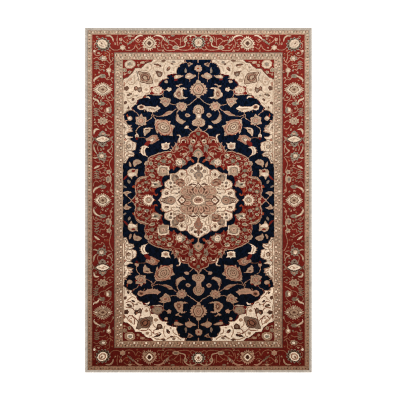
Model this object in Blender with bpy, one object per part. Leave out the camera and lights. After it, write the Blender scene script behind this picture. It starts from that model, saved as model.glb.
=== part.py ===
"""Area rug, 1.60 x 2.43 m: a tufted medallion rug with a serged edge.

The rug lies flat with its origin at the centre of its underside, +Y along its length and +Z up.
From the floor up it is a secondary backing, a latex coat, a primary backing canvas and the pile.
The pile is tufted in zones of yarn, each a solid of its own, parted by the groove that is carved
between two colours. All round the edge, serging yarn is wrapped over a cord and over the edge of
the canvas and the latex.
"""

import math

import bmesh
import bpy
from mathutils import Vector
from mathutils.geometry import tessellate_polygon

# Driving dimensions, in metres
RUG_WIDTH = 1.60
RUG_LENGTH = 2.433
GAP = 0.0003

SECONDARY_BACKING = 0.0010
LATEX_COAT = 0.0010
PRIMARY_BACKING = 0.0008
RUG_THICKNESS = 0.0120

SERGING_WIDTH = 0.019
SERGING_LIP_HEIGHT = 0.0062
CORD_RADIUS = 0.0030
CORD_FROM_EDGE = 0.0055
CORD_HEIGHT = 0.0049
BACKING_FROM_EDGE = 0.0100

# Half width and half length of the rectangles between the bands of the pattern
HALF = (RUG_WIDTH / 2, RUG_LENGTH / 2)
OUTER_GUARD_INNER = (0.750, 1.168)
MAIN_BORDER_INNER = (0.593, 1.043)
FIELD = (0.533, 0.991)

# Heights of the layers
LATEX_BOTTOM = SECONDARY_BACKING + GAP
CANVAS_BOTTOM = LATEX_BOTTOM + LATEX_COAT + GAP
PILE_BOTTOM = CANVAS_BOTTOM + PRIMARY_BACKING + GAP

# Colour, and roughness, of each yarn and of each part of the backing
NAVY = (0.009, 0.013, 0.030)
RED = (0.210, 0.030, 0.018)
IVORY = (0.760, 0.610, 0.440)
BEIGE = (0.480, 0.320, 0.215)
ROSE = (0.420, 0.230, 0.155)
GREIGE = (0.440, 0.370, 0.300)
CANVAS = (0.560, 0.500, 0.380)
LATEX = (0.620, 0.560, 0.440)
SCRIM = (0.500, 0.440, 0.340)
YARN_ROUGHNESS = 0.95
LATEX_ROUGHNESS = 0.70

ARC_STEPS = 4
CORD_SIDES = 16

# Outlines are quadrant lists from the +Y axis round to the +X axis, in centimetres: x, y and the
# bulge of the arc to the next point, as a part of its chord, outwards when positive.
MEDALLION = [
    (0.0, 51.8, -0.08), (2.8, 48.4, 0.06), (6.6, 46.3, 0.0), (7.0, 45.0, 0.06), (14.0, 42.6, 0.0),
    (14.2, 40.8, 0.1), (17.8, 36.4, 0.0), (19.5, 34.0, 0.1), (27.0, 33.4, 0.06),
    (35.2, 29.4, 0.1), (35.3, 27.0, 0.25), (37.0, 23.8, 0.12), (37.0, 16.9, 0.0),
    (38.6, 16.5, 0.18), (43.6, 13.6, 0.1), (44.0, 4.0, -0.05), (47.8, 0.0, 0.0)]
INNER_RING = [
    (0.0, 28.8, 0.0), (1.6, 30.6, 0.0), (4.6, 31.0, -0.1), (7.0, 27.6, 0.1), (8.0, 25.0, 0.0),
    (9.6, 25.0, 0.1), (12.2, 22.9, -0.1), (14.6, 23.7, 0.15), (16.4, 22.4, -0.1),
    (19.0, 22.2, 0.1), (20.8, 20.4, 0.0), (20.8, 17.6, 0.0), (23.4, 17.4, 0.1), (25.2, 15.4, 0.1),
    (25.6, 12.2, 0.0), (24.6, 10.4, 0.1), (26.4, 9.6, 0.1), (29.6, 8.2, 0.2), (30.6, 4.6, -0.1),
    (32.4, 3.6, 0.15), (31.4, 0.8, 0.0), (30.2, 0.0, 0.0)]
CENTRE = [
    (0.0, 27.4, 0.0), (4.4, 24.4, 0.1), (8.2, 21.6, 0.15), (9.2, 21.2, 0.25), (14.2, 20.6, 0.15),
    (15.6, 19.4, -0.02), (20.2, 18.8, -0.02), (20.1, 14.9, 0.1), (22.9, 13.4, 0.25),
    (23.4, 9.4, 0.0), (22.9, 8.4, 0.1), (25.8, 6.9, 0.2), (25.6, 4.6, -0.05), (28.9, 0.0, 0.0)]
ROSETTE = [
    (0.0, 12.3, 0.0), (1.9, 10.4, 0.0), (3.4, 9.0, -0.1), (4.2, 9.9, 0.1), (6.8, 10.4, 0.1),
    (9.9, 9.7, 0.15), (12.3, 7.6, 0.15), (13.2, 5.0, 0.05), (11.9, 2.9, 0.0), (14.9, 0.0, 0.0)]

# Open outlines against the edge of the field, in centimetres, the same way
SPANDREL = [
    (9.4, 99.1, 0.0), (8.4, 97.2, 0.0), (11.4, 96.9, 0.15), (14.6, 93.2, 0.12), (15.3, 89.2, 0.0),
    (18.0, 88.5, 0.1), (22.4, 87.2, -0.1), (21.2, 85.9, 0.0), (25.4, 85.3, 0.1),
    (28.6, 81.0, 0.0), (24.9, 78.2, -0.15), (25.6, 74.6, -0.08), (33.0, 74.6, 0.0),
    (35.0, 74.8, 0.0), (38.6, 73.4, 0.0), (39.2, 71.8, 0.1), (42.6, 70.4, 0.0),
    (44.0, 67.6, 0.05), (46.8, 65.2, 0.0), (45.2, 63.0, 0.2), (51.6, 61.6, 0.05),
    (53.3, 60.4, 0.0)]
CORNER = [
    (31.8, 99.1, 0.0), (33.6, 97.4, 0.15), (38.6, 94.6, 0.1), (40.4, 93.1, 0.0),
    (44.6, 93.1, 0.0), (46.0, 90.4, 0.0), (50.0, 86.5, 0.05), (53.3, 85.4, 0.0)]
SIDE_ORNAMENT = [
    (53.3, 60.0, 0.0), (52.6, 59.6, 0.0), (52.4, 56.2, 0.0), (50.6, 54.4, 0.0), (49.4, 53.0, 0.0),
    (47.2, 52.8, 0.0), (48.2, 51.7, 0.0), (46.4, 50.9, 0.0), (47.2, 49.8, 0.0), (46.4, 48.4, 0.0),
    (50.2, 47.4, -0.25), (49.2, 44.6, 0.0), (46.2, 44.7, 0.0), (48.4, 43.2, -0.1),
    (47.6, 41.8, 0.0), (44.4, 40.4, 0.1), (44.4, 35.4, 0.0), (47.5, 34.6, 0.0), (45.6, 33.2, 0.1),
    (45.6, 31.2, 0.0), (49.0, 30.4, 0.0), (50.2, 28.6, 0.0), (51.2, 26.4, 0.0), (53.3, 26.3, 0.0)]


def clear_scene():
    for old in list(bpy.data.objects):
        bpy.data.objects.remove(old, do_unlink=True)


def material(name, colour, roughness):
    """A plain shader of one colour, for one sub-part."""
    made = bpy.data.materials.new(name)
    made.use_nodes = True
    shader = made.node_tree.nodes["Principled BSDF"]
    shader.inputs["Base Color"].default_value = (*colour, 1.0)
    shader.inputs["Roughness"].default_value = roughness
    shader.inputs["Metallic"].default_value = 0.0
    made.diffuse_color = (*colour, 1.0)
    return made


def add_object(name, vertices, faces, colour, roughness=YARN_ROUGHNESS):
    """A closed solid, its faces turned to point outwards."""
    mesh = bpy.data.meshes.new(name)
    mesh.from_pydata(vertices, [], faces)
    solid = bmesh.new()
    solid.from_mesh(mesh)
    bmesh.ops.recalc_face_normals(solid, faces=solid.faces)
    solid.to_mesh(mesh)
    solid.free()
    made = bpy.data.objects.new(name, mesh)
    made.data.materials.append(material(name + "_material", colour, roughness))
    bpy.context.scene.collection.objects.link(made)
    return made


# Outlines

def arc(start, end, bulge, outward):
    """Points from start up to, but not including, end, on an arc that bulges towards outward."""
    chord = end - start
    normal = Vector((-chord.y, chord.x))
    if normal.dot(outward) < 0:
        normal = -normal
    points = []
    for step in range(ARC_STEPS if bulge else 1):
        t = step / ARC_STEPS
        points.append(start + chord * t + normal * (4 * bulge * t * (1 - t)))
    return points


def arcs(corners, centre):
    """The open outline through corners in centimetres, as points in metres from first to last."""
    points = []
    for (x0, y0, bulge), (x1, y1, _) in zip(corners, corners[1:]):
        start = Vector((x0, y0)) / 100
        end = Vector((x1, y1)) / 100
        points += arc(start, end, bulge, (start + end) / 2 - centre)
    points.append(Vector(corners[-1][:2]) / 100)
    return points


def four_fold(corners):
    """The closed outline that a quadrant's outline makes when it is mirrored left and down."""
    first = arcs(corners, Vector((0.0, 0.0)))
    second = [Vector((p.x, -p.y)) for p in reversed(first[:-1])]
    half = first + second
    return half + [Vector((-p.x, p.y)) for p in reversed(half[1:-1])]


def rectangle(half_width, half_length):
    return [Vector((half_width, half_length)), Vector((half_width, -half_length)),
            Vector((-half_width, -half_length)), Vector((-half_width, half_length))]


def turned(points, flip_x, flip_y):
    return [Vector((p.x * flip_x, p.y * flip_y)) for p in points]


def signed_area(points):
    return sum(a.x * b.y - b.x * a.y for a, b in zip(points, points[1:] + points[:1])) / 2


def grown(points, distance):
    """The closed outline moved out by distance, or in where distance is negative."""
    outward = 1 if signed_area(points) > 0 else -1
    moved = []
    for index, point in enumerate(points):
        before = (point - points[index - 1]).normalized()
        after = (points[(index + 1) % len(points)] - point).normalized()
        across = Vector((before.y + after.y, -before.x - after.x)) * outward
        if across.length < 1e-6:
            across = Vector((before.y, -before.x)) * outward
        across.normalize()
        stretch = max(abs(across.dot(Vector((before.y, -before.x)))), 0.5)
        moved.append(point + across * (distance / stretch))
    return moved


# Solids

def prism(name, outline, holes, bottom, top, colour, roughness=YARN_ROUGHNESS):
    """A closed solid over an outline with holes, between two heights."""
    loops = [outline] + holes
    flat = [point for loop in loops for point in loop]
    count = len(flat)
    vertices = [(p.x, p.y, bottom) for p in flat] + [(p.x, p.y, top) for p in flat]
    faces = []
    for a, b, c in tessellate_polygon([[Vector((p.x, p.y, 0)) for p in loop] for loop in loops]):
        faces.append((a + count, b + count, c + count))
        faces.append((a, b, c))
    start = 0
    for loop in loops:
        for step in range(len(loop)):
            a = start + step
            b = start + (step + 1) % len(loop)
            faces.append((a, b, b + count, a + count))
        start += len(loop)
    return add_object(name, vertices, faces, colour, roughness)


def pile(name, outline, holes, colour):
    return prism(name, outline, holes, PILE_BOTTOM, RUG_THICKNESS, colour)


def edge_run(name, side, profile, colour):
    """One side's length of a section that runs round the rug, mitred at both ends.

    The profile is a list of (distance in from the edge, height).
    """
    across, along = (HALF[0], HALF[1]) if side in ("left", "right") else (HALF[1], HALF[0])
    sign = 1 if side in ("right", "head") else -1
    vertices = []
    for end in (-1, 1):
        for inset, height in profile:
            u = sign * (across - inset)
            v = end * (along - inset - GAP)
            x, y = (u, v) if side in ("left", "right") else (v, u)
            vertices.append((x, y, height))
    count = len(profile)
    faces = [(i, (i + 1) % count, (i + 1) % count + count, i + count) for i in range(count)]
    for a, b, c in tessellate_polygon([[Vector((inset, height, 0)) for inset, height in profile]]):
        faces.append((a, b, c))
        faces.append((a + count, b + count, c + count))
    return add_object(name, vertices, faces, colour)


def band_run(name, side, outer, inner, colour):
    """One side's strip of a band of pile between two rectangles, mitred at both ends."""
    sx = {"left": -1, "right": 1}.get(side, 0)
    sy = {"foot": -1, "head": 1}.get(side, 0)
    if sx:
        corners = [(sx * outer[0], outer[1] - GAP), (sx * inner[0], inner[1] - GAP),
                   (sx * inner[0], GAP - inner[1]), (sx * outer[0], GAP - outer[1])]
    else:
        corners = [(outer[0] - GAP, sy * outer[1]), (inner[0] - GAP, sy * inner[1]),
                   (GAP - inner[0], sy * inner[1]), (GAP - outer[0], sy * outer[1])]
    return pile(name, [Vector(corner) for corner in corners], [], colour)


# Sub-parts

def make_backing():
    """The three layers under the pile."""
    inner = (HALF[0] - SERGING_WIDTH - GAP, HALF[1] - SERGING_WIDTH - GAP)
    under = (HALF[0] - BACKING_FROM_EDGE, HALF[1] - BACKING_FROM_EDGE)
    prism("secondary_backing", rectangle(*inner), [], 0.0, SECONDARY_BACKING, SCRIM)
    prism("latex_coat", rectangle(*under), [], LATEX_BOTTOM, LATEX_BOTTOM + LATEX_COAT, LATEX,
          LATEX_ROUGHNESS)
    prism("primary_backing", rectangle(*under), [], CANVAS_BOTTOM, CANVAS_BOTTOM + PRIMARY_BACKING,
          CANVAS)


def cord_section():
    """The round section of the edge cord."""
    angles = [2 * math.pi * step / CORD_SIDES for step in range(CORD_SIDES)]
    return [(CORD_FROM_EDGE + CORD_RADIUS * math.cos(a), CORD_HEIGHT + CORD_RADIUS * math.sin(a))
            for a in angles]


def serging_section():
    """The section of the wrapped yarn: round over the cord, open inwards for the backing."""
    pocket = CORD_RADIUS + GAP
    slot_bottom = SECONDARY_BACKING
    slot_top = PILE_BOTTOM
    outside = []
    for step in range(13):
        angle = math.radians(55 + step * (270 - 55) / 12)
        outside.append((CORD_FROM_EDGE * (1 + math.cos(angle)), CORD_HEIGHT * (1 + math.sin(angle))))
    first = math.asin((slot_bottom + 0.0010 - CORD_HEIGHT) / pocket)
    last = math.asin((slot_top - CORD_HEIGHT) / pocket) - 2 * math.pi
    inside = []
    for step in range(15):
        angle = first + (last - first) * step / 14
        inside.append((CORD_FROM_EDGE + pocket * math.cos(angle), CORD_HEIGHT + pocket * math.sin(angle)))
    return ([(SERGING_WIDTH, SERGING_LIP_HEIGHT)] + outside + [(SERGING_WIDTH, 0.0)]
            + [(SERGING_WIDTH, slot_bottom), (inside[0][0] + 0.0005, slot_bottom)] + inside
            + [(SERGING_WIDTH, slot_top)])


def make_edge():
    """The cord and the serging on each of the four sides."""
    for side in ("left", "right", "head", "foot"):
        edge_run("edge_cord_" + side, side, cord_section(), CANVAS)
        edge_run("serging_" + side, side, serging_section(), GREIGE)


def make_bands():
    """The guard stripes and the main border, a strip to each side."""
    edge = (HALF[0] - SERGING_WIDTH - GAP, HALF[1] - SERGING_WIDTH - GAP)
    bands = [("outer_guard", edge, OUTER_GUARD_INNER, BEIGE),
             ("main_border", OUTER_GUARD_INNER, MAIN_BORDER_INNER, RED),
             ("inner_guard", MAIN_BORDER_INNER, FIELD, BEIGE)]
    for name, outer, inner, colour in bands:
        if outer is not edge:
            outer = (outer[0] - GAP, outer[1] - GAP)
        for side in ("left", "right", "head", "foot"):
            band_run(name + "_" + side, side, outer, inner, colour)


def against_corner(corners, edge):
    """The closed outline of a zone that fills the field's corner inside an open outline."""
    middle = Vector((0.0, 0.0))
    points = arcs(corners, middle)
    points[0].y = edge[1]
    points[-1].x = edge[0]
    return points + [Vector(edge)]


def cleared(zone, edge):
    """The open outline that stands clear of a zone in the field's corner."""
    outline = grown(zone, GAP)[:-1]
    outline[0].y = edge[1]
    outline[-1].x = edge[0]
    return outline


def make_field():
    """The navy ground, and what is set against its edge."""
    edge = (FIELD[0] - GAP, FIELD[1] - GAP)
    spandrel = against_corner(SPANDREL, edge)
    corner = against_corner(CORNER, edge)
    ornament = arcs(SIDE_ORNAMENT, Vector((0.60, 0.415)))
    for end in (0, -1):
        ornament[end].x = edge[0]
    spandrel_edge = spandrel[:-1]
    clear_of_corner = cleared(corner, edge)

    quarters = {"right_head": (1, 1), "right_foot": (1, -1), "left_foot": (-1, -1), "left_head": (-1, 1)}
    for place, (sx, sy) in quarters.items():
        pile("corner_spandrel_" + place,
             turned(spandrel_edge + list(reversed(clear_of_corner)), sx, sy), [], IVORY)
        pile("corner_triangle_" + place, turned(corner, sx, sy), [], RED)
        pile("side_ornament_" + place, turned(ornament, sx, sy), [], IVORY)

    clear_spandrel = cleared(spandrel, edge)
    clear_ornament = grown(ornament, GAP)
    for end in (0, -1):
        clear_ornament[end].x = edge[0]
    quadrant = clear_spandrel + clear_ornament
    half = quadrant + list(reversed(turned(quadrant, 1, -1)))
    outline = half + list(reversed(turned(half, -1, 1)))
    pile("field_ground", outline, [grown(four_fold(MEDALLION), GAP)], NAVY)


def make_medallion():
    """The medallion, from its red ground in to the rosette at its centre."""
    medallion = four_fold(MEDALLION)
    ring = four_fold(INNER_RING)
    centre = four_fold(CENTRE)
    rosette = four_fold(ROSETTE)
    pile("medallion_ground", medallion, [grown(ring, GAP)], RED)
    pile("medallion_inner_ring", ring, [grown(centre, GAP)], NAVY)
    pile("medallion_centre", centre, [grown(rosette, GAP)], IVORY)
    pile("centre_rosette", rosette, [], ROSE)


clear_scene()
make_backing()
make_edge()
make_bands()
make_field()
make_medallion()
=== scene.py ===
"""The look of the area rug: its knotted pattern, its pile, its serged edge and its backing.

The pattern is drawn as a weaver's point paper, one knot to a cell, for a quarter of the rug and in
centimetres from its middle. The quarter is turned over twice to make the whole. The pile is then
built knot by knot, a piece to each zone of the CAD model, and the yarn of each knot is an attribute
of its face that the wool material turns into colour.
"""

import math

import bmesh
import bpy
import numpy as np
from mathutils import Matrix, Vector
from mathutils.geometry import tessellate_polygon


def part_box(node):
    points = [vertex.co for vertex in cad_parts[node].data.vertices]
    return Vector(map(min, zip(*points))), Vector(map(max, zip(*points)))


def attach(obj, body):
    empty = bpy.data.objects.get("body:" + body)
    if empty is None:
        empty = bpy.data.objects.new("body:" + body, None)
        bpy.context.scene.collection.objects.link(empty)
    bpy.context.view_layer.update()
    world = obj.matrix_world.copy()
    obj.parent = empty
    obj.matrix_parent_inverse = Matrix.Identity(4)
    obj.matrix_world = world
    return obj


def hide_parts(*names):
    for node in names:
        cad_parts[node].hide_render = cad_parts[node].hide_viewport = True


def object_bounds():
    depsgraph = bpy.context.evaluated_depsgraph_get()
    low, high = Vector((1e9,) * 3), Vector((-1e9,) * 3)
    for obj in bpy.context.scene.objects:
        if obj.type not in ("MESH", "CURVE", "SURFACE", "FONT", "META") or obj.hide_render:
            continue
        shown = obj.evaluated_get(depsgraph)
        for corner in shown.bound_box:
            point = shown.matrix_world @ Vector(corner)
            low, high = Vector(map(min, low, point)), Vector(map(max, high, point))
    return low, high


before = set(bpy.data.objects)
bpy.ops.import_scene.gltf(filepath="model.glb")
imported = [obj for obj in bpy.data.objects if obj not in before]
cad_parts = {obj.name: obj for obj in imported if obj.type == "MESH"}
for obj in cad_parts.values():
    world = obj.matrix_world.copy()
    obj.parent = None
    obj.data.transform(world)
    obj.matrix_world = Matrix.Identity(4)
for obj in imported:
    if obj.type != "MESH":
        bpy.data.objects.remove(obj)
cad_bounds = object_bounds()

# Places from the CAD model, in metres
PILE_HALF_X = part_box("outer_guard_right")[1][0]
PILE_HALF_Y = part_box("outer_guard_head")[1][1]
PILE_BOTTOM, PILE_TOP = (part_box("field_ground")[end][2] for end in (0, 1))
RUG_HALF_X, RUG_HALF_Y = cad_bounds[1][0], cad_bounds[1][1]

# The knots of a quarter of the rug
KNOTS_X = 312
KNOTS_Y = 478

# The yarns, and their colours as sRGB bytes
(NAVY, RED, IVORY, TAN, ROSE, BROWN, OLIVE, RUST, GREY, TAUPE, SAND, UMBER, PINK, WINE, BEIGE,
 INK) = range(16)
YARN_COLOURS = [
    (6, 18, 37), (121, 33, 25), (249, 222, 194), (193, 160, 132), (167, 116, 93), (109, 74, 57),
    (130, 117, 94), (154, 66, 40), (149, 139, 121), (147, 124, 106), (182, 147, 121), (78, 51, 40),
    (199, 155, 129), (91, 16, 12), (177, 144, 119), (1, 7, 17)]

# How much of the darkening towards the foot and the left each yarn shows; the ivory shows none
YARN_GRADIENT_SHARE = [1.0, 1.0, 0.0, 0.7, 1.0, 1.0, 0.8, 1.0, 0.6, 0.8, 0.7, 1.0, 0.7, 1.0, 0.7, 1.0]

rng = np.random.default_rng(21)

# Half widths and lengths of the rectangles between the bands, in centimetres
FIELD_SIDE = (53.3, 99.1)
BORDER_SIDE = (59.3, 104.3)
GUARD_SIDE = (75.0, 116.8)

# The pattern, in centimetres: the guards' repeat, and how far out the small fillings go
GUARD_PITCH = 2.1
FILL_X, FILL_Y = 78, 116.5

# Counts and shares of the drawing, and the size in knots of a patch of darker navy and its share
CURVE_STEPS = 6
END_GUARD_SHRINK = 0.87
ROSETTE_DEPTH = 0.22
LOT_ROWS, LOT_COLUMNS = 5, 3
LOT_SHARE = 0.35

# The pile, in metres
KNOT_WIDTH = PILE_HALF_X / KNOTS_X
KNOT_LENGTH = PILE_HALF_Y / KNOTS_Y
PILE_UNEVENNESS = 0.0006
PILE_PARTING = 0.0003
PILE_EDGE_DROP = 0.0012
PILE_EDGE_WIDTH = 0.004
KNOT_SWAY = 0.0003
SEAM = 0.00015
WANDER = 0.0035

# The knots between one wandering and the next, and the bands' share of it
WANDER_KNOTS = 11
BAND_WANDER = 0.4

# How much the wool darkens over a metre: red, green and blue along the rug towards its foot, and all three
# across it towards its left
FOOT_DARKENING_SLOPES = (0.40, 0.54, 0.62)
LEFT_DARKENING = 0.06

# The map that the pile is baked on: its margin, and the corner that the underside has
MAP_MARGIN = 0.02
UNDERSIDE_MAP = 0.012

# The serged edge, in metres; its section is measured in from the edge, and up
SERGING_WIDTH = 0.019
SERGING_LIP = 0.0062
CORD_FROM_EDGE = 0.0055
CORD_HEIGHT = 0.0049
CORD_POCKET = ((SERGING_WIDTH, 0.0010), (0.0105, 0.0010), (0.0080, 0.0021), (0.0080, 0.0030),
               (SERGING_WIDTH, 0.0037))
MITRE_GAP = 0.0003
YARN_PITCH = 0.0026
YARN_RELIEF = 0.0007

# The lean of a turn of yarn, in turns, and the mesh's steps in a turn
YARN_LEAN = 1.0
STEPS_A_TURN = 4

# The light and the view
FLOOR_GLOW = 0.8
SKY = 0.62
KEY = 75.0
KEY_PLACE = (0.3, 0.6, 4.6)
KEY_AIM = (0.0, 0.1, 0.0)
VIEW_WIDTH = 2.821
CAMERA_X = 0.0111
CAMERA_Y = 0.0016

# The zones of the pile, their material slots and the parts that each is made in
SIDES = ["left", "right", "head", "foot"]
QUARTERS = ["right_head", "right_foot", "left_foot", "left_head"]
ZONES = ["field_ground", "medallion_ground", "medallion_inner_ring", "medallion_centre", "centre_rosette",
         "corner_spandrel", "corner_triangle", "side_ornament", "inner_guard", "main_border", "outer_guard"]
ZONE_SLOTS = ["navy_wool", "red_wool", "navy_wool", "ivory_wool", "rose_wool", "ivory_wool", "red_wool",
              "ivory_wool", "beige_wool", "red_wool", "beige_wool"]
ZONE_PARTS = [[""], [""], [""], [""], [""], QUARTERS, QUARTERS, QUARTERS, SIDES, SIDES, SIDES]

column = (np.arange(KNOTS_X) + 0.5) * PILE_HALF_X * 100 / KNOTS_X
row = (np.arange(KNOTS_Y) + 0.5) * PILE_HALF_Y * 100 / KNOTS_Y
paper = np.zeros((KNOTS_Y, KNOTS_X), np.int8)
spacing = [(-10, -10), (130, 130)]


def spread(y):
    """Where a drawn height is woven, by the spacing in force."""
    drawn, woven = zip(*spacing)
    return np.interp(y, drawn, woven)


def window(x0, x1, y0, y1):
    """The knots between these sides: their place in the paper, and their x and y."""
    a, b = np.searchsorted(column, (x0, x1))
    c, d = np.searchsorted(row, (y0, y1))
    place = (slice(c, d), slice(a, b))
    return place, column[None, a:b], row[c:d, None]


def smooth(points, closed=False):
    """Points along a Catmull-Rom curve through these ones."""
    points = np.asarray(points, float)
    if closed:
        p = np.vstack([points[-1], points, points[:2]])
    else:
        p = np.vstack([2 * points[0] - points[1], points, 2 * points[-1] - points[-2]])
    t = np.linspace(0, 1, CURVE_STEPS, endpoint=False)[None, :, None]
    a, b, c, d = (p[i:len(p) - 3 + i, None] for i in range(4))
    curve = 0.5 * (2 * b + (c - a) * t + (2 * a - 5 * b + 4 * c - d) * t ** 2
                   + (3 * b - a - 3 * c + d) * t ** 3)
    curve = curve.reshape(-1, 2)
    return curve if closed else np.vstack([curve, points[-1]])


def scallops(corners, middle=(0, 0)):
    """An open outline of arcs: each corner is x, y and its arc's bulge away from middle."""
    points = []
    for (x0, y0, bulge), (x1, y1, _) in zip(corners, corners[1:]):
        chord = np.array((x1 - x0, y1 - y0))
        normal = np.array((-chord[1], chord[0]))
        outward = np.array(((x0 + x1) / 2 - middle[0], (y0 + y1) / 2 - middle[1]))
        normal = normal if normal @ outward > 0 else -normal
        t = np.linspace(0, 1, CURVE_STEPS, endpoint=False)[:, None]
        points.append(np.array((x0, y0)) + chord * t + normal * 4 * bulge * t * (1 - t))
    return np.vstack(points + [corners[-1][:2]])


def fill(outline, yarn):
    """Every knot inside a closed outline takes this yarn."""
    outline = np.array(outline, float)
    outline[:, 1] = spread(outline[:, 1])
    place, x, y = window(outline[:, 0].min(), outline[:, 0].max(), outline[:, 1].min(), outline[:, 1].max())
    inside = np.zeros(np.broadcast(x, y).shape, bool)
    for (xa, ya), (xb, yb) in zip(outline, np.roll(outline, -1, 0)):
        if ya != yb:
            inside ^= ((ya > y) != (yb > y)) & (x < (xb - xa) * (y - ya) / (yb - ya) + xa)
    paper[place][inside] = yarn


def stroke(points, width, yarn, taper=0.0, curved=True):
    """A line through points, narrowing to both ends by taper."""
    line = smooth(points) if curved and len(points) > 2 else np.asarray(points, float)
    line = np.column_stack([line[:, 0], spread(line[:, 1])])
    reach = width / 2 + 0.3
    place, x, y = window(line[:, 0].min() - reach, line[:, 0].max() + reach,
                         line[:, 1].min() - reach, line[:, 1].max() + reach)
    steps = np.hypot(*np.diff(line, axis=0).T)
    run = np.concatenate([[0], np.cumsum(steps)]) / max(steps.sum(), 1e-6)
    inside = np.zeros(np.broadcast(x, y).shape, bool)
    for i in range(len(line) - 1):
        (xa, ya), (xb, yb) = line[i], line[i + 1]
        length = max((xb - xa) ** 2 + (yb - ya) ** 2, 1e-9)
        t = np.clip(((x - xa) * (xb - xa) + (y - ya) * (yb - ya)) / length, 0, 1)
        along = run[i] + (run[i + 1] - run[i]) * t
        half = width / 2 * (1 - taper * np.abs(2 * along - 1) ** 2)
        inside |= np.hypot(x - xa - t * (xb - xa), y - ya - t * (yb - ya)) < half
    paper[place][inside] = yarn


def local(x, y, reach, turn):
    """A window round a motif, with its knots in the motif's own axes: u across, v along."""
    y = float(spread(y))
    place, kx, ky = window(x - reach, x + reach, y - reach, y + reach)
    c, s = math.cos(math.radians(turn)), math.sin(math.radians(turn))
    dx, dy = kx - x, ky - y
    return place, dx * c + dy * s, dy * c - dx * s


def disc(x, y, rx, ry, yarn, turn=0):
    """An ellipse of one yarn."""
    place, u, v = local(x, y, max(rx, ry) + 0.3, turn)
    paper[place][(u / rx) ** 2 + (v / ry) ** 2 < 1] = yarn


def petals(x, y, rx, ry, count, depth, yarn, turn=0):
    """A flower's outline: an ellipse notched into petals."""
    place, u, v = local(x, y, max(rx, ry) + 0.3, turn)
    angle = np.arctan2(v / ry, u / rx)
    edge = 1 - depth * (1 - np.abs(np.sin(count / 2 * angle)))
    paper[place][np.hypot(u / rx, v / ry) < edge] = yarn


def rounded(points, yarn):
    """A shape with a smooth outline through these points."""
    fill(smooth(points, True), yarn)


def each(shape, *rows):
    """Draws the shape once for each row of what it takes."""
    for row in rows:
        shape(*row)


def flower(x, y, *rings):
    """Rings round one middle, each as disc takes it (up to 4 values) or as petals does (5 or more)."""
    for ring in rings:
        (disc if len(ring) < 5 else petals)(x, y, *ring)


def rosette(x, y, r, yarns, count=8, ry=None):
    """Rings of petals, each yarn of the list inside the one before."""
    ry = ry or r
    for step, yarn in enumerate(yarns):
        part = 1 - step / len(yarns)
        petals(x, y, r * part, ry * part, count, ROSETTE_DEPTH * part, yarn)


def teardrop(x, y, w, h, yarn, turn=0, belly=0.42, teeth=0, bite=0.12):
    """A pointed drop of width w and height h, its tip along the motif's +v."""
    place, u, v = local(x, y, max(w, h) * 0.75 + 0.3, turn)
    t = np.clip((v + h / 2) / h, 0, 1)
    half = np.where(t < belly, np.sqrt(np.clip(1 - ((belly - t) / belly) ** 2, 0, 1)),
                    np.cos(np.clip((t - belly) / (1 - belly), 0, 1) * math.pi / 2) ** 0.85)
    if teeth:
        half = half * (1 - bite * (0.5 + 0.5 * np.cos(2 * math.pi * teeth * t)))
    inside = (np.abs(u) < w / 2 * half) & (v > -h / 2) & (v < h / 2)
    paper[place][inside] = yarn


def leaf(points, width, yarn, vein=None):
    """A curved leaf, widest in its middle, with an optional vein."""
    stroke(points, width, yarn, taper=1.0)
    if vein is not None:
        stroke(points, 0.3, vein, taper=0.3)


# Outlines of a quarter of the medallion: the corners, and the bulge of the arc after each
MEDALLION = [(0.0, 51.8, -0.08), (2.8, 48.4, 0.06), (6.6, 46.3, 0.0), (7.0, 45.0, 0.06),
    (14.0, 42.6, 0.0), (14.2, 40.8, 0.1), (17.8, 36.4, 0.0), (19.5, 34.0, 0.1), (27.0, 33.4, 0.06),
    (35.2, 29.4, 0.1), (35.3, 27.0, 0.25), (37.0, 23.8, 0.12), (37.0, 16.9, 0.0), (38.6, 16.5, 0.18),
    (43.6, 13.6, 0.1), (44.0, 4.0, -0.05), (47.8, 0.0, 0.0)]
INNER_RING = [(0.0, 28.8, 0.0), (1.6, 30.6, 0.0), (4.6, 31.0, -0.1), (7.0, 27.6, 0.1), (8.0, 25.0, 0.0),
    (9.6, 25.0, 0.1), (12.2, 22.9, -0.1), (14.6, 23.7, 0.15), (16.4, 22.4, -0.1), (19.0, 22.2, 0.1),
    (20.8, 20.4, 0.0), (20.8, 17.6, 0.0), (23.4, 17.4, 0.1), (25.2, 15.4, 0.1), (25.6, 12.2, 0.0),
    (24.6, 10.4, 0.1), (26.4, 9.6, 0.1), (29.6, 8.2, 0.2), (30.6, 4.6, -0.1), (32.4, 3.6, 0.15),
    (31.4, 0.8, 0.0), (30.2, 0.0, 0.0)]
CENTRE = [(0.0, 27.4, 0.0), (4.4, 24.4, 0.1), (8.2, 21.6, 0.15), (9.2, 21.2, 0.25), (14.2, 20.6, 0.15),
    (15.6, 19.4, -0.02), (20.2, 18.8, -0.02), (20.1, 14.9, 0.1), (22.9, 13.4, 0.25), (23.4, 9.4, 0.0),
    (22.9, 8.4, 0.1), (25.8, 6.9, 0.2), (25.6, 4.6, -0.05), (28.9, 0.0, 0.0)]
ROSETTE = [(0.0, 12.3, 0.0), (1.9, 10.4, 0.0), (3.4, 9.0, -0.1), (4.2, 9.9, 0.1), (6.8, 10.4, 0.1),
    (9.9, 9.7, 0.15), (12.3, 7.6, 0.15), (13.2, 5.0, 0.05), (11.9, 2.9, 0.0), (14.9, 0.0, 0.0)]


def closed(corners):
    """A quadrant's outline, closed through the paper's corner."""
    return np.vstack([scallops(corners), [(-1, -1)], [(-1, corners[0][1])]])


def closed_outside(edge):
    """An outline that ends at the edge of the field, closed a little past it."""
    past = FIELD_SIDE[0] + 0.7
    return np.vstack([edge, [(past, edge[-1][1]), (past, edge[0][1])]])


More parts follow.
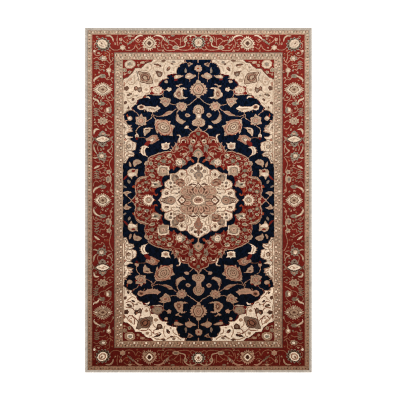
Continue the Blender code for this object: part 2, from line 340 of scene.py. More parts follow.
def petal(x, y, w, h, turn, edge, body, core=None, belly=0.5, rim=0.9):
    """A petal with a rim of its own yarn, and a core when one is named."""
    teardrop(x, y, w, h, edge, turn, belly)
    teardrop(x, y, w - rim, h - rim, body, turn, belly)
    if core is not None:
        teardrop(x, y, (w - rim) * 0.42, (h - rim) * 0.55, core, turn, belly)


def medallion_centre(at_foot):
    """The ivory centre of the medallion, with its scrolls and palmettes."""
    each(fill, (closed(CENTRE), PINK),
        (closed([(x - 0.5 * (y < 18), y - 0.6, bulge) for x, y, bulge in CENTRE]), IVORY))
    # the scroll lines and shaded grounds that part the lobes
    each(stroke, ([(8.7, 21.2), (8.2, 19.2), (8.3, 17.2)], 1.0, ROSE),
        ([(8.4, 17.4), (7.0, 17.8), (5.6, 17.2), (4.9, 15.8), (5.4, 14.4)], 0.8, TAN),
        ([(8.4, 17.2), (9.3, 15.6), (9.5, 13.6), (9.1, 11.8)], 0.8, TAN),
        ([(7.4, 16.2), (7.0, 14.0), (7.3, 12.2), (8.2, 10.8)], 0.8, SAND),
        ([(8.2, 15.6), (8.2, 13.4), (8.6, 11.6)], 0.6, TAN),
        ([(4.6, 15.4), (5.8, 13.4), (6.2, 12.0)], 0.6, TAN),
        ([(0.4, 14.2), (2.4, 13.9), (4.4, 14.6)], 0.5, TAN),
        ([(2.0, 12.8), (3.2, 13.0), (4.4, 12.4)], 0.5, TAN),
        ([(5.8, 22.4), (6.8, 20.8), (6.4, 18.8)], 0.5, TAN), ([(3.4, 18.6), (3.0, 20.2)], 0.5, TAN),
        ([(10.0, 19.4), (9.8, 17.6), (11.0, 16.4), (12.9, 16.6), (13.8, 18.0)], 0.5, TAN),
        ([(14.3, 20.2), (15.0, 18.6), (17.0, 18.2), (19.4, 18.4)], 0.8, TAN),
        ([(18.6, 17.4), (18.7, 15.8), (18.2, 13.8)], 0.7, TAN),
        ([(12.0, 9.0), (13.6, 9.4), (15.2, 9.0)], 0.6, TAN),
        ([(13.2, 8.2), (15.0, 7.7), (17.0, 7.9), (18.6, 7.0), (19.2, 5.8)], 0.8, SAND),
        ([(19.3, 7.2), (21.0, 7.9), (23.4, 9.0)], 0.8, ROSE),
        ([(16.2, 5.4), (17.8, 5.0), (19.4, 5.6)], 0.7, TAN),
        ([(20.6, 6.2), (22.4, 6.4), (23.9, 5.6), (24.1, 4.2)], 0.5, TAN),
        ([(24.4, 7.2), (25.4, 6.0), (25.8, 4.2)], 0.7, TAN),
        ([(17.4, 10.8), (18.2, 9.0), (17.6, 8.2)], 0.6, TAN),
        ([(21.8, 12.8), (22.0, 11.2), (21.2, 9.6)], 0.5, TAN),
        ([(12.8, 3.4), (14.6, 2.8), (15.4, 1.6)], 0.6, TAN),
        ([(2.2, 25.4), (3.4, 24.2), (4.8, 23.4)], 0.6, TAN))
    # the buds in the lobes
    each(disc, (11.7, 18.2, 1.2, 1.5, TAN), (11.9, 18.3, 0.7, 1.0, BROWN), (4.6, 20.4, 1.3, 1.3, TAUPE),
        (4.7, 20.2, 0.6, 0.6, SAND), (2.1, 22.4, 0.9, 1.2, BROWN), (19.7, 12.2, 1.1, 1.1, TAUPE),
        (19.5, 9.6, 0.8, 1.0, BROWN), (16.8, 9.8, 1.3, 0.9, TAN), (16.7, 9.9, 0.6, 0.5, TAUPE),
        (22.2, 4.9, 1.4, 0.9, BROWN), (22.3, 4.9, 0.6, 0.3, TAN), (16.8, 12.4, 0.9, 0.7, BROWN),
        (13.1, 5.4, 1.0, 0.8, BROWN), (15.0, 4.8, 0.9, 0.6, TAUPE), (17.7, 17.5, 0.5, 0.5, ROSE),
        (13.8, 7.8, 0.7, 0.5, TAUPE), (9.4, 19.4, 0.4, 0.4, TAUPE))
    each(stroke, ([(2.4, 11.2), (4.2, 11.5), (6.2, 10.7)], 1.2, BROWN),
        ([(9.4, 9.4), (10.6, 8.9), (11.6, 9.5)], 0.8, TAUPE))
    # the diagonal palmettes, grey-brown then rose-brown
    rounded([(13.8, 14.6), (13.9, 16.6), (15.4, 17.7), (17.6, 17.5), (18.7, 15.8), (18.0, 13.8),
        (16.0, 13.0)], TAUPE)
    each(flower, (15.3, 17.0, (1.1, 0.6, BROWN, 20)), (16.6, 15.4, (1.1, 1.0, SAND, -40)),
        (16.4, 13.6, (0.7, 0.7, SAND)))
    rounded([(9.4, 10.4), (9.6, 12.6), (10.2, 14.4), (12.0, 15.4), (14.4, 14.8), (16.0, 12.8),
        (15.6, 10.8), (13.0, 9.8)], ROSE)
    each(stroke, ([(10.6, 14.0), (12.0, 14.5), (13.4, 14.0), (14.4, 14.6)], 0.7, BROWN),
        ([(11.0, 12.2), (12.4, 12.8), (13.8, 12.5)], 0.8, BROWN))
    each(flower, (13.5, 13.6, (1.2, 0.4, TAN, -20)), (12.0, 11.2, (1.2, 0.6, SAND, 20)),
        (10.6, 12.2, (0.5, 1.0, TAUPE)), (14.2, 11.3, (0.6, 0.8, BROWN)))
    # the palmettes on the axes
    each(teardrop, (0, 17.2, 7.2, 6.4, BROWN, 180, 0.55, 4, 0.2),
        (0, 17.3, 6.4, 5.8, ROSE if at_foot else TAUPE, 180, 0.55))
    each(flower, (0, 17.4, (2.1, 1.7, 7, 0.15, TAUPE if at_foot else SAND)),
        (0, 17.2, (1.3, 1.0, ROSE if at_foot else TAUPE)),
        (0, 14.2, (1.6, 2.0, ROSE if at_foot else TAN)),
        (0, 22.2, (1.5, 2.4, ROSE if at_foot else TAUPE)), (0, 22.6, (0.7, 1.1, BROWN)),
        (0, 24.8, (0.7, 0.8, BROWN)))
    # the neck that joins the centre to the flower above it
    stroke([(0, 26.6), (0, 30.2)], 1.1, SAND)
    fill([(15.8, -1), (15.8, 1.2), (17.6, 3.0), (19.6, 3.5), (21.6, 2.6), (23.2, 2.3), (25.0, 1.8),
        (26.8, -1)], TAUPE)
    flower(19.2, 0, (3.2, 2.5, 10, 0.15, SAND), (2.6, 1.9, 10, 0.15, ROSE), (1.7, 1.2, 8, 0.15, TAN),
        (0.8, 0.6, BROWN))
    stroke([(21.6, 2.6), (23.8, 1.5), (26.0, 1.3), (27.0, 0)], 0.6, BROWN)
    flower(24.0, 0, (1.4, 0.9, SAND), (0.6, 0.4, BROWN))


def centre_rosette():
    """The rose rosette in the middle of the rug."""
    # the ground, then the rings of petals and the eye
    fill(closed(ROSETTE), TAN)
    each(petal, (10.4, 6.4, 4.6, 5.0, -62, ROSE, PINK, TAN, 0.5, 0.6),
        (7.8, 7.8, 4.4, 5.0, -38, ROSE, TAN, PINK, 0.5, 0.6), (4.9, 8.3, 3.2, 3.6, -16, ROSE, PINK))
    each(stroke, ([(9.2, 7.6), (11.0, 7.0), (12.0, 5.6)], 0.5, ROSE),
        ([(4.0, 9.4), (6.2, 9.7), (8.4, 9.0)], 0.4, ROSE))
    # the pointed petals on the axes, and the leaves beside them
    each(fill, ([(8.8, 0), (9.6, 1.8), (11.9, 3.2), (15.0, 0), (11.9, -3.2)], BROWN),
        ([(9.4, 0), (10.2, 1.3), (11.7, 1.9), (13.7, 0), (11.7, -1.9)], IVORY))
    disc(11.4, 0, 1.1, 0.8, PINK)
    each(fill, ([(-1, 8.4), (1.0, 9.0), (2.7, 9.4), (0, 12.6), (-1, 12.6)], BROWN),
        ([(-1, 8.6), (0.6, 9.2), (1.5, 9.9), (0, 11.6), (-1, 11.6)], IVORY))
    disc(0, 9.8, 0.7, 0.8, SAND)
    each(petal, (5.9, 6.0, 4.0, 5.4, -42, BROWN, PINK, ROSE, 0.5, 0.7),
        (2.0, 6.8, 3.8, 5.8, -8, BROWN, PINK, ROSE, 0.5, 0.8),
        (7.9, 2.3, 3.4, 6.8, -80, BROWN, PINK, ROSE, 0.5, 0.8))
    each(flower, (5.4, 5.4, (0.9, 0.7, BROWN, 45)), (4.0, 7.8, (0.6, 0.7, UMBER)),
        (11.4, 2.7, (1.1, 0.6, BROWN)), (0, 0, (5.6, 4.7, 12, 0.14, TAN)))
    for x, y, turn in ((3.7, 2.9, -40), (1.5, 3.8, -10), (4.9, 1.2, -80)):
        disc(x, y, 1.1, 0.5, TAUPE, turn)
    flower(0, 0, (4.1, 3.2, 12, 0.1, IVORY), (3.2, 2.3, 10, 0.12, ROSE), (2.7, 1.8, 10, 0.12, PINK),
        (1.9, 1.1, BROWN), (1.1, 0.6, ROSE))


def inner_ring():
    """The navy ring round the ivory centre."""
    fill(closed(INNER_RING), NAVY)
    teardrop(4.4, 28.3, 1.7, 3.6, RUST, -40)
    each(stroke, ([(5.2, 28.9), (6.4, 28.2), (7.6, 28.0)], 0.7, ROSE),
        ([(17.4, 23.2), (17.6, 21.6)], 0.9, RUST), ([(25.2, 7.4), (26.0, 6.4), (26.6, 6.2)], 1.1, RUST),
        ([(29.2, 4.0), (30.2, 3.4), (31.0, 4.2)], 1.0, RUST))


def sprig(x, y, turn, yarn, bud, size=1.0):
    """A small scroll that hooks over into a bud; a negative size is its mirror image."""
    c, s = math.cos(math.radians(turn)), math.sin(math.radians(turn))
    curve = ((-0.3, -1.4), (0.5, -0.7), (0.7, 0.2), (0.1, 0.9), (-0.6, 0.6))
    hook = [(u * size, v * abs(size)) for u, v in curve]
    stroke([(x + u * c - v * s, y + u * s + v * c) for u, v in hook], 0.45, yarn)
    u, v = -0.6 * size, 0.2 * abs(size)
    disc(x + u * c - v * s, y + u * s + v * c, 0.45, 0.4, bud)


def medallion_edge_leaves():
    """Leaves along the inside of the medallion's edge."""
    each(stroke, ([(7.4, 40.4), (8.1, 43.0), (10.4, 43.9), (12.6, 43.1), (13.2, 41.0)], 0.7, ROSE),
        ([(8.8, 40.8), (9.2, 42.2), (10.6, 42.7), (12.0, 41.8), (12.2, 40.6)], 0.8, TAN))
    each(flower, (10.5, 41.1, (1.0, 0.8, WINE)), (9.2, 41.9, (0.6, 0.4, OLIVE, 40)),
        (11.0, 42.4, (0.7, 0.4, IVORY)))
    each(stroke, ([(7.2, 44.4), (7.5, 42.4), (7.0, 41.0)], 0.6, ROSE),
        ([(35.6, 16.4), (38.6, 15.8), (41.4, 14.6), (43.6, 12.2)], 1.1, TAN, 0.4),
        ([(38.0, 16.4), (41.0, 15.8), (43.4, 13.6), (44.2, 10.8)], 0.6, ROSE))
    each(flower, (40.6, 14.4, (0.8, 0.6, BROWN, -30)), (42.6, 12.4, (0.7, 0.9, RUST)))
    leaf([(35.4, 27.6), (36.8, 26.9), (37.6, 25.4), (37.4, 24.0)], 1.5, TAN)
    disc(36.0, 25.4, 0.7, 0.8, SAND)


def medallion_flowers():
    """The small flowers, from the top tip round to the side tip."""
    each(flower, (0.2, 46.8, (1.2, 1.3, 5, 0.2, OLIVE)), (3.0, 45.2, (0.9, 1.0, 5, 0.2, ROSE)),
        (4.0, 41.6, (1.9, 1.6, 6, 0.2, TAN)), (3.4, 42.2, (0.7, 0.6, IVORY)),
        (4.0, 41.5, (0.7, 0.5, UMBER)), (0.2, 41.2, (0.9, 0.9, 5, 0.2, ROSE)),
        (0.2, 39.2, (1.2, 1.1, 5, 0.2, TAN)))
    teardrop(5.3, 36.5, 3.4, 5.6, TAUPE, 160, 0.42, 5, 0.2)
    stroke([(4.2, 38.6), (5.4, 36.6), (6.4, 34.2)], 0.7, OLIVE)
    each(flower, (5.0, 37.2, (0.5, 1.0, BROWN, 30)), (15.2, 36.3, (1.5, 1.0, 5, 0.2, TAN, -30)),
        (14.8, 37.7, (0.9, 0.7, 5, 0.2, OLIVE)), (9.4, 32.7, (1.7, 1.1, 6, 0.2, TAN, 10)),
        (9.6, 32.8, (0.6, 0.4, ROSE)), (7.6, 29.9, (1.5, 1.3, 6, 0.2, TAUPE)),
        (7.9, 29.9, (0.7, 0.6, TAN)))
    teardrop(0, 33.2, 8.0, 7.2, TAN, 0, 0.36, 5, 0.2)
    stroke([(2.7, 30.8), (3.0, 32.8), (2.0, 34.6), (0, 35.6)], 0.6, OLIVE)
    each(flower, (0, 33.0, (1.7, 1.9, PINK)), (0, 32.6, (0.8, 1.0, OLIVE)),
        (20.4, 31.3, (1.9, 1.7, 7, 0.15, TAN)), (20.2, 31.2, (1.1, 1.0, 5, 0.2, OLIVE)),
        (20.9, 31.6, (0.5, 0.4, IVORY)))
    stroke([(26.2, 31.0), (27.4, 31.5), (28.6, 31.2)], 0.9, OLIVE)
    each(flower, (28.4, 29.5, (2.1, 1.1, 6, 0.2, TAN, -15)), (28.3, 29.5, (1.1, 0.6, 5, 0.2, OLIVE, -15)),
        (33.2, 28.7, (1.1, 1.0, 5, 0.25, PINK), (0.5, 0.5, RUST)))


def large_flowers():
    """The two large flowers of the red ground, and the small ones between them and the side."""
    rounded([(12.4, 22.6), (13.4, 23.8), (15.6, 24.1), (16.2, 25.4), (16.0, 26.6), (16.4, 28.0),
        (15.0, 28.6), (14.6, 29.9), (12.8, 29.5), (11.4, 29.7), (9.8, 28.4), (8.9, 28.0), (9.2, 26.8),
        (8.1, 26.3), (9.6, 25.2), (11.2, 24.2)], SAND)
    stroke([(15.0, 24.6), (12.6, 23.9), (10.4, 25.2), (9.6, 26.8), (10.6, 28.4), (12.4, 29.0)], 0.6,
        TAUPE)
    each(flower, (10.8, 27.6, (1.1, 1.0, GREY, 30)), (10.5, 27.9, (0.5, 0.5, BROWN)),
        (13.6, 26.8, (2.1, 2.0, 7, 0.15, IVORY), (1.4, 1.3, 7, 0.15, TAUPE)),
        (13.4, 26.9, (0.9, 0.8, 5, 0.15, IVORY)))
    stroke([(12.1, 22.9), (12.1, 25.0)], 0.7, RUST)
    rounded([(20.2, 17.4), (20.4, 19.4), (19.9, 20.8), (20.5, 22.4), (20.3, 24.2), (22.2, 24.0),
        (23.4, 24.9), (25.0, 24.6), (26.4, 25.4), (27.4, 24.6), (28.9, 24.8), (28.6, 23.2), (29.5, 22.0),
        (28.8, 20.8), (29.3, 19.4), (28.0, 18.6), (28.0, 17.2), (26.4, 17.3), (25.2, 16.5), (23.6, 17.2),
        (22.0, 16.9)], TAN)
    stroke([(20.9, 18.2), (21.5, 20.8), (21.2, 23.0), (23.6, 24.0), (26.4, 24.2), (28.0, 23.2),
        (28.4, 21.0)], 0.6, IVORY)
    each(flower, (24.9, 20.9, (3.1, 3.0, 9, 0.1, TAUPE)),
        (24.8, 20.8, (2.5, 2.4, 9, 0.1, TAN), (1.7, 1.6, 6, 0.15, PINK), (1.1, 1.0, 6, 0.15, IVORY)),
        (24.7, 20.8, (0.8, 0.8, 5, 0.15, ROSE)), (22.6, 19.0, (0.9, 1.1, SAND, -30)),
        (27.0, 18.6, (0.8, 0.8, SAND)), (20.3, 27.1, (1.1, 1.0, 5, 0.2, TAN), (0.5, 0.5, OLIVE)),
        (24.4, 27.6, (1.7, 1.4, 6, 0.25, OLIVE, 20)), (24.1, 27.5, (0.9, 0.6, 5, 0.2, GREY, 20)),
        (24.8, 27.9, (0.4, 0.4, BROWN)), (27.7, 25.9, (1.2, 1.0, 5, 0.2, OLIVE)),
        (33.5, 25.8, (1.5, 1.4, 6, 0.2, TAN)), (33.4, 25.8, (0.7, 0.7, OLIVE)),
        (32.6, 20.9, (1.6, 1.4, 6, 0.2, OLIVE)), (32.4, 21.0, (0.7, 0.6, TAUPE)),
        (32.6, 17.3, (2.2, 1.3, 6, 0.2, TAN, 20)), (32.3, 17.2, (1.0, 0.5, OLIVE, 20)),
        (36.0, 21.4, (1.2, 1.3, 6, 0.15, TAN), (0.7, 0.8, RUST)))


def leaning_palmette():
    """The palmette that leans out, and the flowers down to the side tip."""
    rounded([(25.2, 10.1), (27.0, 11.4), (28.2, 13.2), (28.6, 14.6), (29.9, 13.4), (31.2, 13.1),
        (33.2, 13.4), (33.0, 11.6), (33.4, 9.8), (31.6, 8.9), (29.2, 9.0), (27.0, 9.6)], TAN)
    each(stroke, ([(28.4, 13.8), (29.4, 12.6), (31.4, 12.5), (32.8, 12.8)], 0.6, IVORY),
        ([(25.8, 10.3), (27.8, 10.0), (30.0, 9.5), (32.6, 9.9)], 0.6, SAND))
    each(flower, (30.2, 11.1, (1.8, 0.8, GREY, 12)), (30.5, 11.1, (1.1, 0.4, UMBER, 12)),
        (31.9, 10.7, (0.6, 0.7, IVORY)), (27.4, 12.6, (0.7, 1.1, TAUPE, -30)),
        (32.0, 7.0, (0.7, 1.3, RUST, -10)), (36.7, 12.8, (1.2, 1.0, 5, 0.2, OLIVE)),
        (36.9, 12.8, (0.5, 0.4, TAN)), (41.4, 10.2, (1.5, 0.9, 5, 0.2, TAN, 20), (0.6, 0.4, OLIVE)),
        (36.6, 7.4, (1.9, 1.3, 6, 0.2, TAUPE, 10), (1.0, 0.7, 5, 0.2, OLIVE, 10)),
        (37.2, 7.7, (0.4, 0.4, IVORY)), (41.4, 6.0, (1.7, 1.5, 6, 0.2, OLIVE)),
        (41.3, 6.0, (0.9, 0.8, 5, 0.2, TAN)), (35.4, 0, (4.9, 4.4, 18, 0.3, TAN)),
        (35.3, 0, (3.9, 3.5, 18, 0.2, IVORY)),
        (35.2, 0, (2.8, 2.4, 12, 0.2, ROSE), (2.3, 1.9, 12, 0.2, TAN)),
        (35.1, 0, (1.2, 1.1, 6, 0.2, TAUPE), (0.6, 0.5, IVORY)), (43.2, 1.0, (1.2, 1.0, 5, 0.2, TAN)))


def curling_leaves():
    """Leaves that curl off the medallion on to the navy."""
    each(stroke, ([(13.5, 40.6), (13.6, 42.6), (12.9, 44.2), (13.4, 45.8), (15.2, 46.2)], 1.3, TAN, 0.4),
        ([(13.4, 41.6), (13.2, 43.4), (12.7, 44.6), (13.4, 45.7)], 0.6, IVORY),
        ([(16.0, 37.4), (15.7, 39.0), (16.6, 40.8)], 0.8, SAND, 0.4),
        ([(18.6, 34.2), (19.4, 35.4), (20.2, 35.6)], 0.7, TAN, 0.4),
        ([(18.3, 35.6), (18.0, 37.0), (18.8, 38.2)], 0.8, SAND, 0.4),
        ([(44.6, 10.4), (45.8, 10.0), (46.4, 9.0)], 0.8, RUST, 0.4))


def medallion_ground():
    """The red ground of the medallion, with its vines and flowers."""
    fill(closed(MEDALLION), RED)
    edge = scallops(MEDALLION)
    stroke(edge, 0.7, ROSE, curved=False)
    for run in (MEDALLION[:4], MEDALLION[7:11], MEDALLION[13:]):
        stroke(scallops(run), 0.6, TAN, curved=False)
    # darker wool between the vines
    for x, y, rx, ry in ((2.6, 44.0, 0.9, 0.7), (7.4, 38.8, 1.2, 0.8), (12.6, 34.6, 1.2, 1.0),
            (4.8, 32.4, 0.9, 1.3), (10.8, 31.2, 1.4, 0.7), (17.8, 30.4, 0.7, 1.0), (22.8, 25.6, 1.3, 0.6),
            (30.8, 26.8, 0.8, 1.2), (30.4, 20.6, 0.7, 1.4), (35.0, 18.8, 0.9, 0.6),
            (27.0, 15.4, 1.4, 0.6), (38.6, 10.6, 0.9, 0.9), (33.6, 4.8, 1.4, 0.7), (39.4, 4.6, 0.9, 0.7),
            (24.0, 32.0, 1.0, 0.6), (35.2, 8.8, 0.5, 0.9)):
        disc(x, y, rx, ry, WINE)
    # vines
    for line, width in (([(3.4, 38.4), (3.0, 40.0), (1.2, 43.4), (2.4, 45.0)], 0.5),
            ([(7.6, 31.4), (6.4, 32.8), (5.8, 34.4)], 0.6),
            ([(7.6, 36.6), (9.2, 37.9), (11.4, 38.0), (13.0, 36.9), (14.4, 36.2)], 0.7),
            ([(8.4, 34.9), (10.2, 35.7), (12.4, 35.3), (13.6, 34.2)], 0.5),
            ([(12.6, 40.2), (13.8, 38.8), (14.2, 37.4)], 0.5),
            ([(13.8, 34.2), (15.6, 34.6), (16.8, 33.6), (18.6, 33.5)], 0.6),
            ([(15.4, 28.6), (15.8, 30.6), (17.0, 32.2), (18.8, 32.6)], 0.6),
            ([(17.2, 26.0), (17.5, 27.8), (18.8, 28.6), (19.2, 30.0)], 0.5),
            ([(22.2, 30.4), (23.4, 29.6), (23.9, 28.9)], 0.5),
            ([(21.8, 32.6), (24.0, 33.0), (25.6, 32.2), (26.2, 31.2)], 0.5),
            ([(29.8, 31.0), (31.4, 30.7), (32.2, 29.6), (31.6, 28.4), (30.4, 28.0)], 0.5),
            ([(21.0, 26.0), (22.6, 26.0), (24.0, 25.6), (26.6, 26.2)], 0.5),
            ([(29.4, 24.4), (30.8, 23.6), (31.0, 22.0)], 0.5),
            ([(33.4, 23.6), (34.6, 23.2), (35.2, 22.4)], 0.5),
            ([(30.0, 18.9), (31.0, 19.9), (31.4, 20.9)], 0.5),
            ([(34.6, 19.6), (35.4, 18.6), (35.2, 17.2)], 0.5),
            ([(33.8, 15.0), (35.2, 14.4), (36.0, 13.4)], 0.5),
            ([(37.8, 12.4), (39.2, 12.8), (40.4, 12.0)], 0.5),
            ([(33.8, 10.6), (35.4, 10.8), (36.2, 9.6), (36.0, 8.4)], 0.5),
            ([(31.8, 10.2), (33.6, 9.8), (34.1, 8.2), (33.0, 6.4)], 0.7),
            ([(38.2, 8.2), (39.4, 7.9), (40.2, 7.0)], 0.5),
            ([(38.8, 3.6), (40.8, 3.2), (42.4, 2.4)], 0.6),
            ([(42.8, 7.6), (43.8, 6.0), (43.2, 4.4)], 0.5)):
        stroke(line, 0.8 * width, ROSE)
    for x, y, turn, size in ((1.6, 49.2, 0, 0.8), (5.6, 43.6, 60, 0.8), (1.6, 37.8, -60, 0.8),
            (7.8, 34.0, 80, 0.7), (5.0, 39.6, 200, 0.8), (12.0, 32.6, 250, 0.9), (11.8, 36.4, 90, 0.7),
            (15.6, 39.4, 130, 0.7), (16.6, 35.6, 20, 0.8), (5.6, 29.6, 100, 0.8), (10.4, 31.0, 0, 0.7),
            (17.6, 24.8, 0, 0.8), (22.6, 28.4, -20, 0.7), (18.2, 29.2, 160, 0.6), (24.4, 31.0, 60, 0.7),
            (26.4, 28.0, 180, 0.7), (30.4, 26.2, -30, 0.9), (31.4, 24.0, 90, 0.7), (35.4, 27.4, 30, 0.8),
            (29.6, 22.2, 0, 0.7), (34.6, 20.8, 200, 0.6), (28.8, 16.0, -80, 0.8), (33.2, 14.4, 40, 0.8),
            (37.4, 15.0, 90, 0.7), (39.0, 11.4, 0, 0.7), (34.8, 12.2, 140, 0.7), (38.6, 6.2, 90, 0.6),
            (43.0, 8.8, 0, 0.7), (38.8, 9.4, 60, 0.6), (41.6, 3.6, 120, 0.7), (44.6, 2.6, 60, 0.7)):
        sprig(x, y, turn, ROSE, TAN, size)
    medallion_edge_leaves()
    medallion_flowers()
    large_flowers()
    leaning_palmette()
    curling_leaves()


# Outlines against the edge of the field, in the same way
SPANDREL = [(9.4, 99.1, 0.0), (8.4, 97.2, 0.0), (11.4, 96.9, 0.15), (14.6, 93.2, 0.12), (15.3, 89.2, 0.0),
    (18.0, 88.5, 0.1), (22.4, 87.2, -0.1), (21.2, 85.9, 0.0), (25.4, 85.3, 0.1), (28.6, 81.0, 0.0),
    (24.9, 78.2, -0.15), (25.6, 74.6, -0.08), (33.0, 74.6, 0.0), (35.0, 74.8, 0.0), (38.6, 73.4, 0.0),
    (39.2, 71.8, 0.1), (42.6, 70.4, 0.0), (44.0, 67.6, 0.05), (46.8, 65.2, 0.0), (45.2, 63.0, 0.2),
    (51.6, 61.6, 0.05), (53.3, 60.4, 0.0)]
CORNER = [(31.8, 99.1, 0.0), (33.6, 97.4, 0.15), (38.6, 94.6, 0.1), (40.4, 93.1, 0.0), (44.6, 93.1, 0.0),
    (46.0, 90.4, 0.0), (50.0, 86.5, 0.05), (53.3, 85.4, 0.0)]
SIDE_ORNAMENT = [(53.3, 60.0, 0.0), (52.6, 59.6, 0.0), (52.4, 56.2, 0.0), (50.6, 54.4, 0.0),
    (49.4, 53.0, 0.0), (47.2, 52.8, 0.0), (48.2, 51.7, 0.0), (46.4, 50.9, 0.0), (47.2, 49.8, 0.0),
    (46.4, 48.4, 0.0), (50.2, 47.4, -0.25), (49.2, 44.6, 0.0), (46.2, 44.7, 0.0), (48.4, 43.2, -0.1),
    (47.6, 41.8, 0.0), (44.4, 40.4, 0.1), (44.4, 35.4, 0.0), (47.5, 34.6, 0.0), (45.6, 33.2, 0.1),
    (45.6, 31.2, 0.0), (49.0, 30.4, 0.0), (50.2, 28.6, 0.0), (51.2, 26.4, 0.0), (53.3, 26.3, 0.0)]
ORNAMENT_MIDDLE = (60, 42)


def ground_lines():
    """Stems on the navy ground."""
    for line, width in (([(0.2, 72.8), (2.0, 71.0), (5.0, 68.8), (8.4, 66.8)], 0.9),
            ([(15.2, 66.9), (17.8, 67.2), (20.2, 68.0)], 0.8),
            ([(24.5, 72.0), (24.7, 74.0), (25.2, 75.6)], 0.8),
            ([(15.0, 64.6), (16.8, 63.4), (18.8, 62.2)], 0.7),
            ([(14.0, 63.4), (15.1, 61.8), (15.4, 59.6)], 1.1),
            ([(26.0, 59.7), (28.6, 59.2), (31.2, 59.7), (32.4, 60.4)], 0.7),
            ([(32.7, 62.6), (32.3, 61.2), (33.3, 59.9), (32.8, 58.6), (33.7, 57.2)], 0.9),
            ([(32.2, 59.6), (31.2, 58.2), (29.8, 57.0)], 0.7),
            ([(33.4, 58.0), (34.8, 56.6), (37.2, 55.4)], 0.6),
            ([(41.2, 52.4), (42.8, 50.8), (43.7, 48.8), (43.5, 46.6)], 0.8),
            ([(42.3, 60.0), (43.6, 61.8), (45.8, 62.8)], 0.7),
            ([(7.2, 51.0), (5.2, 49.4), (3.4, 48.0)], 0.7),
            ([(6.2, 85.9), (6.2, 84.6), (6.5, 83.6)], 0.7),
            ([(14.3, 80.0), (13.6, 79.2), (13.2, 78.2)], 0.7),
            ([(22.2, 78.0), (23.6, 77.5), (25.2, 76.6)], 0.7),
            ([(50.3, 3.2), (49.2, 1.9), (47.6, 0.3)], 0.7), ([(52.3, 5.4), (53.3, 4.6)], 0.6)):
        stroke(line, 0.65 * width, TAN)
    each(stroke, ([(36.8, 43.7), (39.4, 44.4), (42.6, 44.0)], 0.6, BROWN),
        ([(0, 97.2), (0, 99.2)], 1.0, SAND), ([(0, 84.0), (0, 91.6)], 0.7, SAND))


def axis_flowers(at_foot):
    """The flowers of the navy field on the rug's long axis."""
    light = PINK if at_foot else IVORY
    fill(smooth([(0, 67.5), (1.6, 66.9), (3.2, 65.6), (3.9, 63.8), (3.8, 61.6), (2.4, 60.9), (1.7, 59.2),
        (2.3, 57.6), (3.8, 56.8), (4.5, 55.2), (4.2, 53.2), (2.8, 52.2),
        (0, 52.2)]).tolist() + [[-1, 52.2], [-1, 67.5]], TAN)
    disc(0, 59.4, 1.3, 1.4, light)
    stroke([(1.8, 66.0), (3.0, 63.8), (2.6, 61.6)], 0.5, ROSE)
    each(flower, (0, 63.0, (2.2, 2.4, 8, 0.2, BROWN), (1.7, 1.9, 8, 0.2, TAN)),
        (0, 62.8, (1.0, 1.2, 5, 0.2, ROSE), (0.5, 0.6, light)), (0, 54.8, (2.9, 2.4, 8, 0.2, ROSE),
        (2.3, 1.8, 8, 0.2, TAN), (1.1, 1.0, BROWN), (0.7, 0.6, TAN)))
    # the large serrated palmette
    petals(0, 78.2, 6.4, 5.0, 16, 0.18, TAN)
    each(teardrop, (0, 82.0, 7.0, 6.4, TAN, 0, 0.35, 3, 0.25),
        (0, 74.4, 5.2, 5.8, TAN, 180, 0.35, 3, 0.3))
    petals(0, 78.2, 5.2, 4.4, 14, 0.1, PINK)
    for rx, ry, yarn in ((4.0, 5.7, BROWN), (3.3, 4.9, TAN), (2.2, 3.2, ROSE), (1.7, 2.6, PINK),
            (0.9, 1.4, BROWN), (0.5, 0.7, TAN)):
        diamond(0, 78.4, rx, ry, yarn)
    rosette(0, 93.0, 2.8, (TAN, PINK, TAN, RUST), 8, ry=2.4)


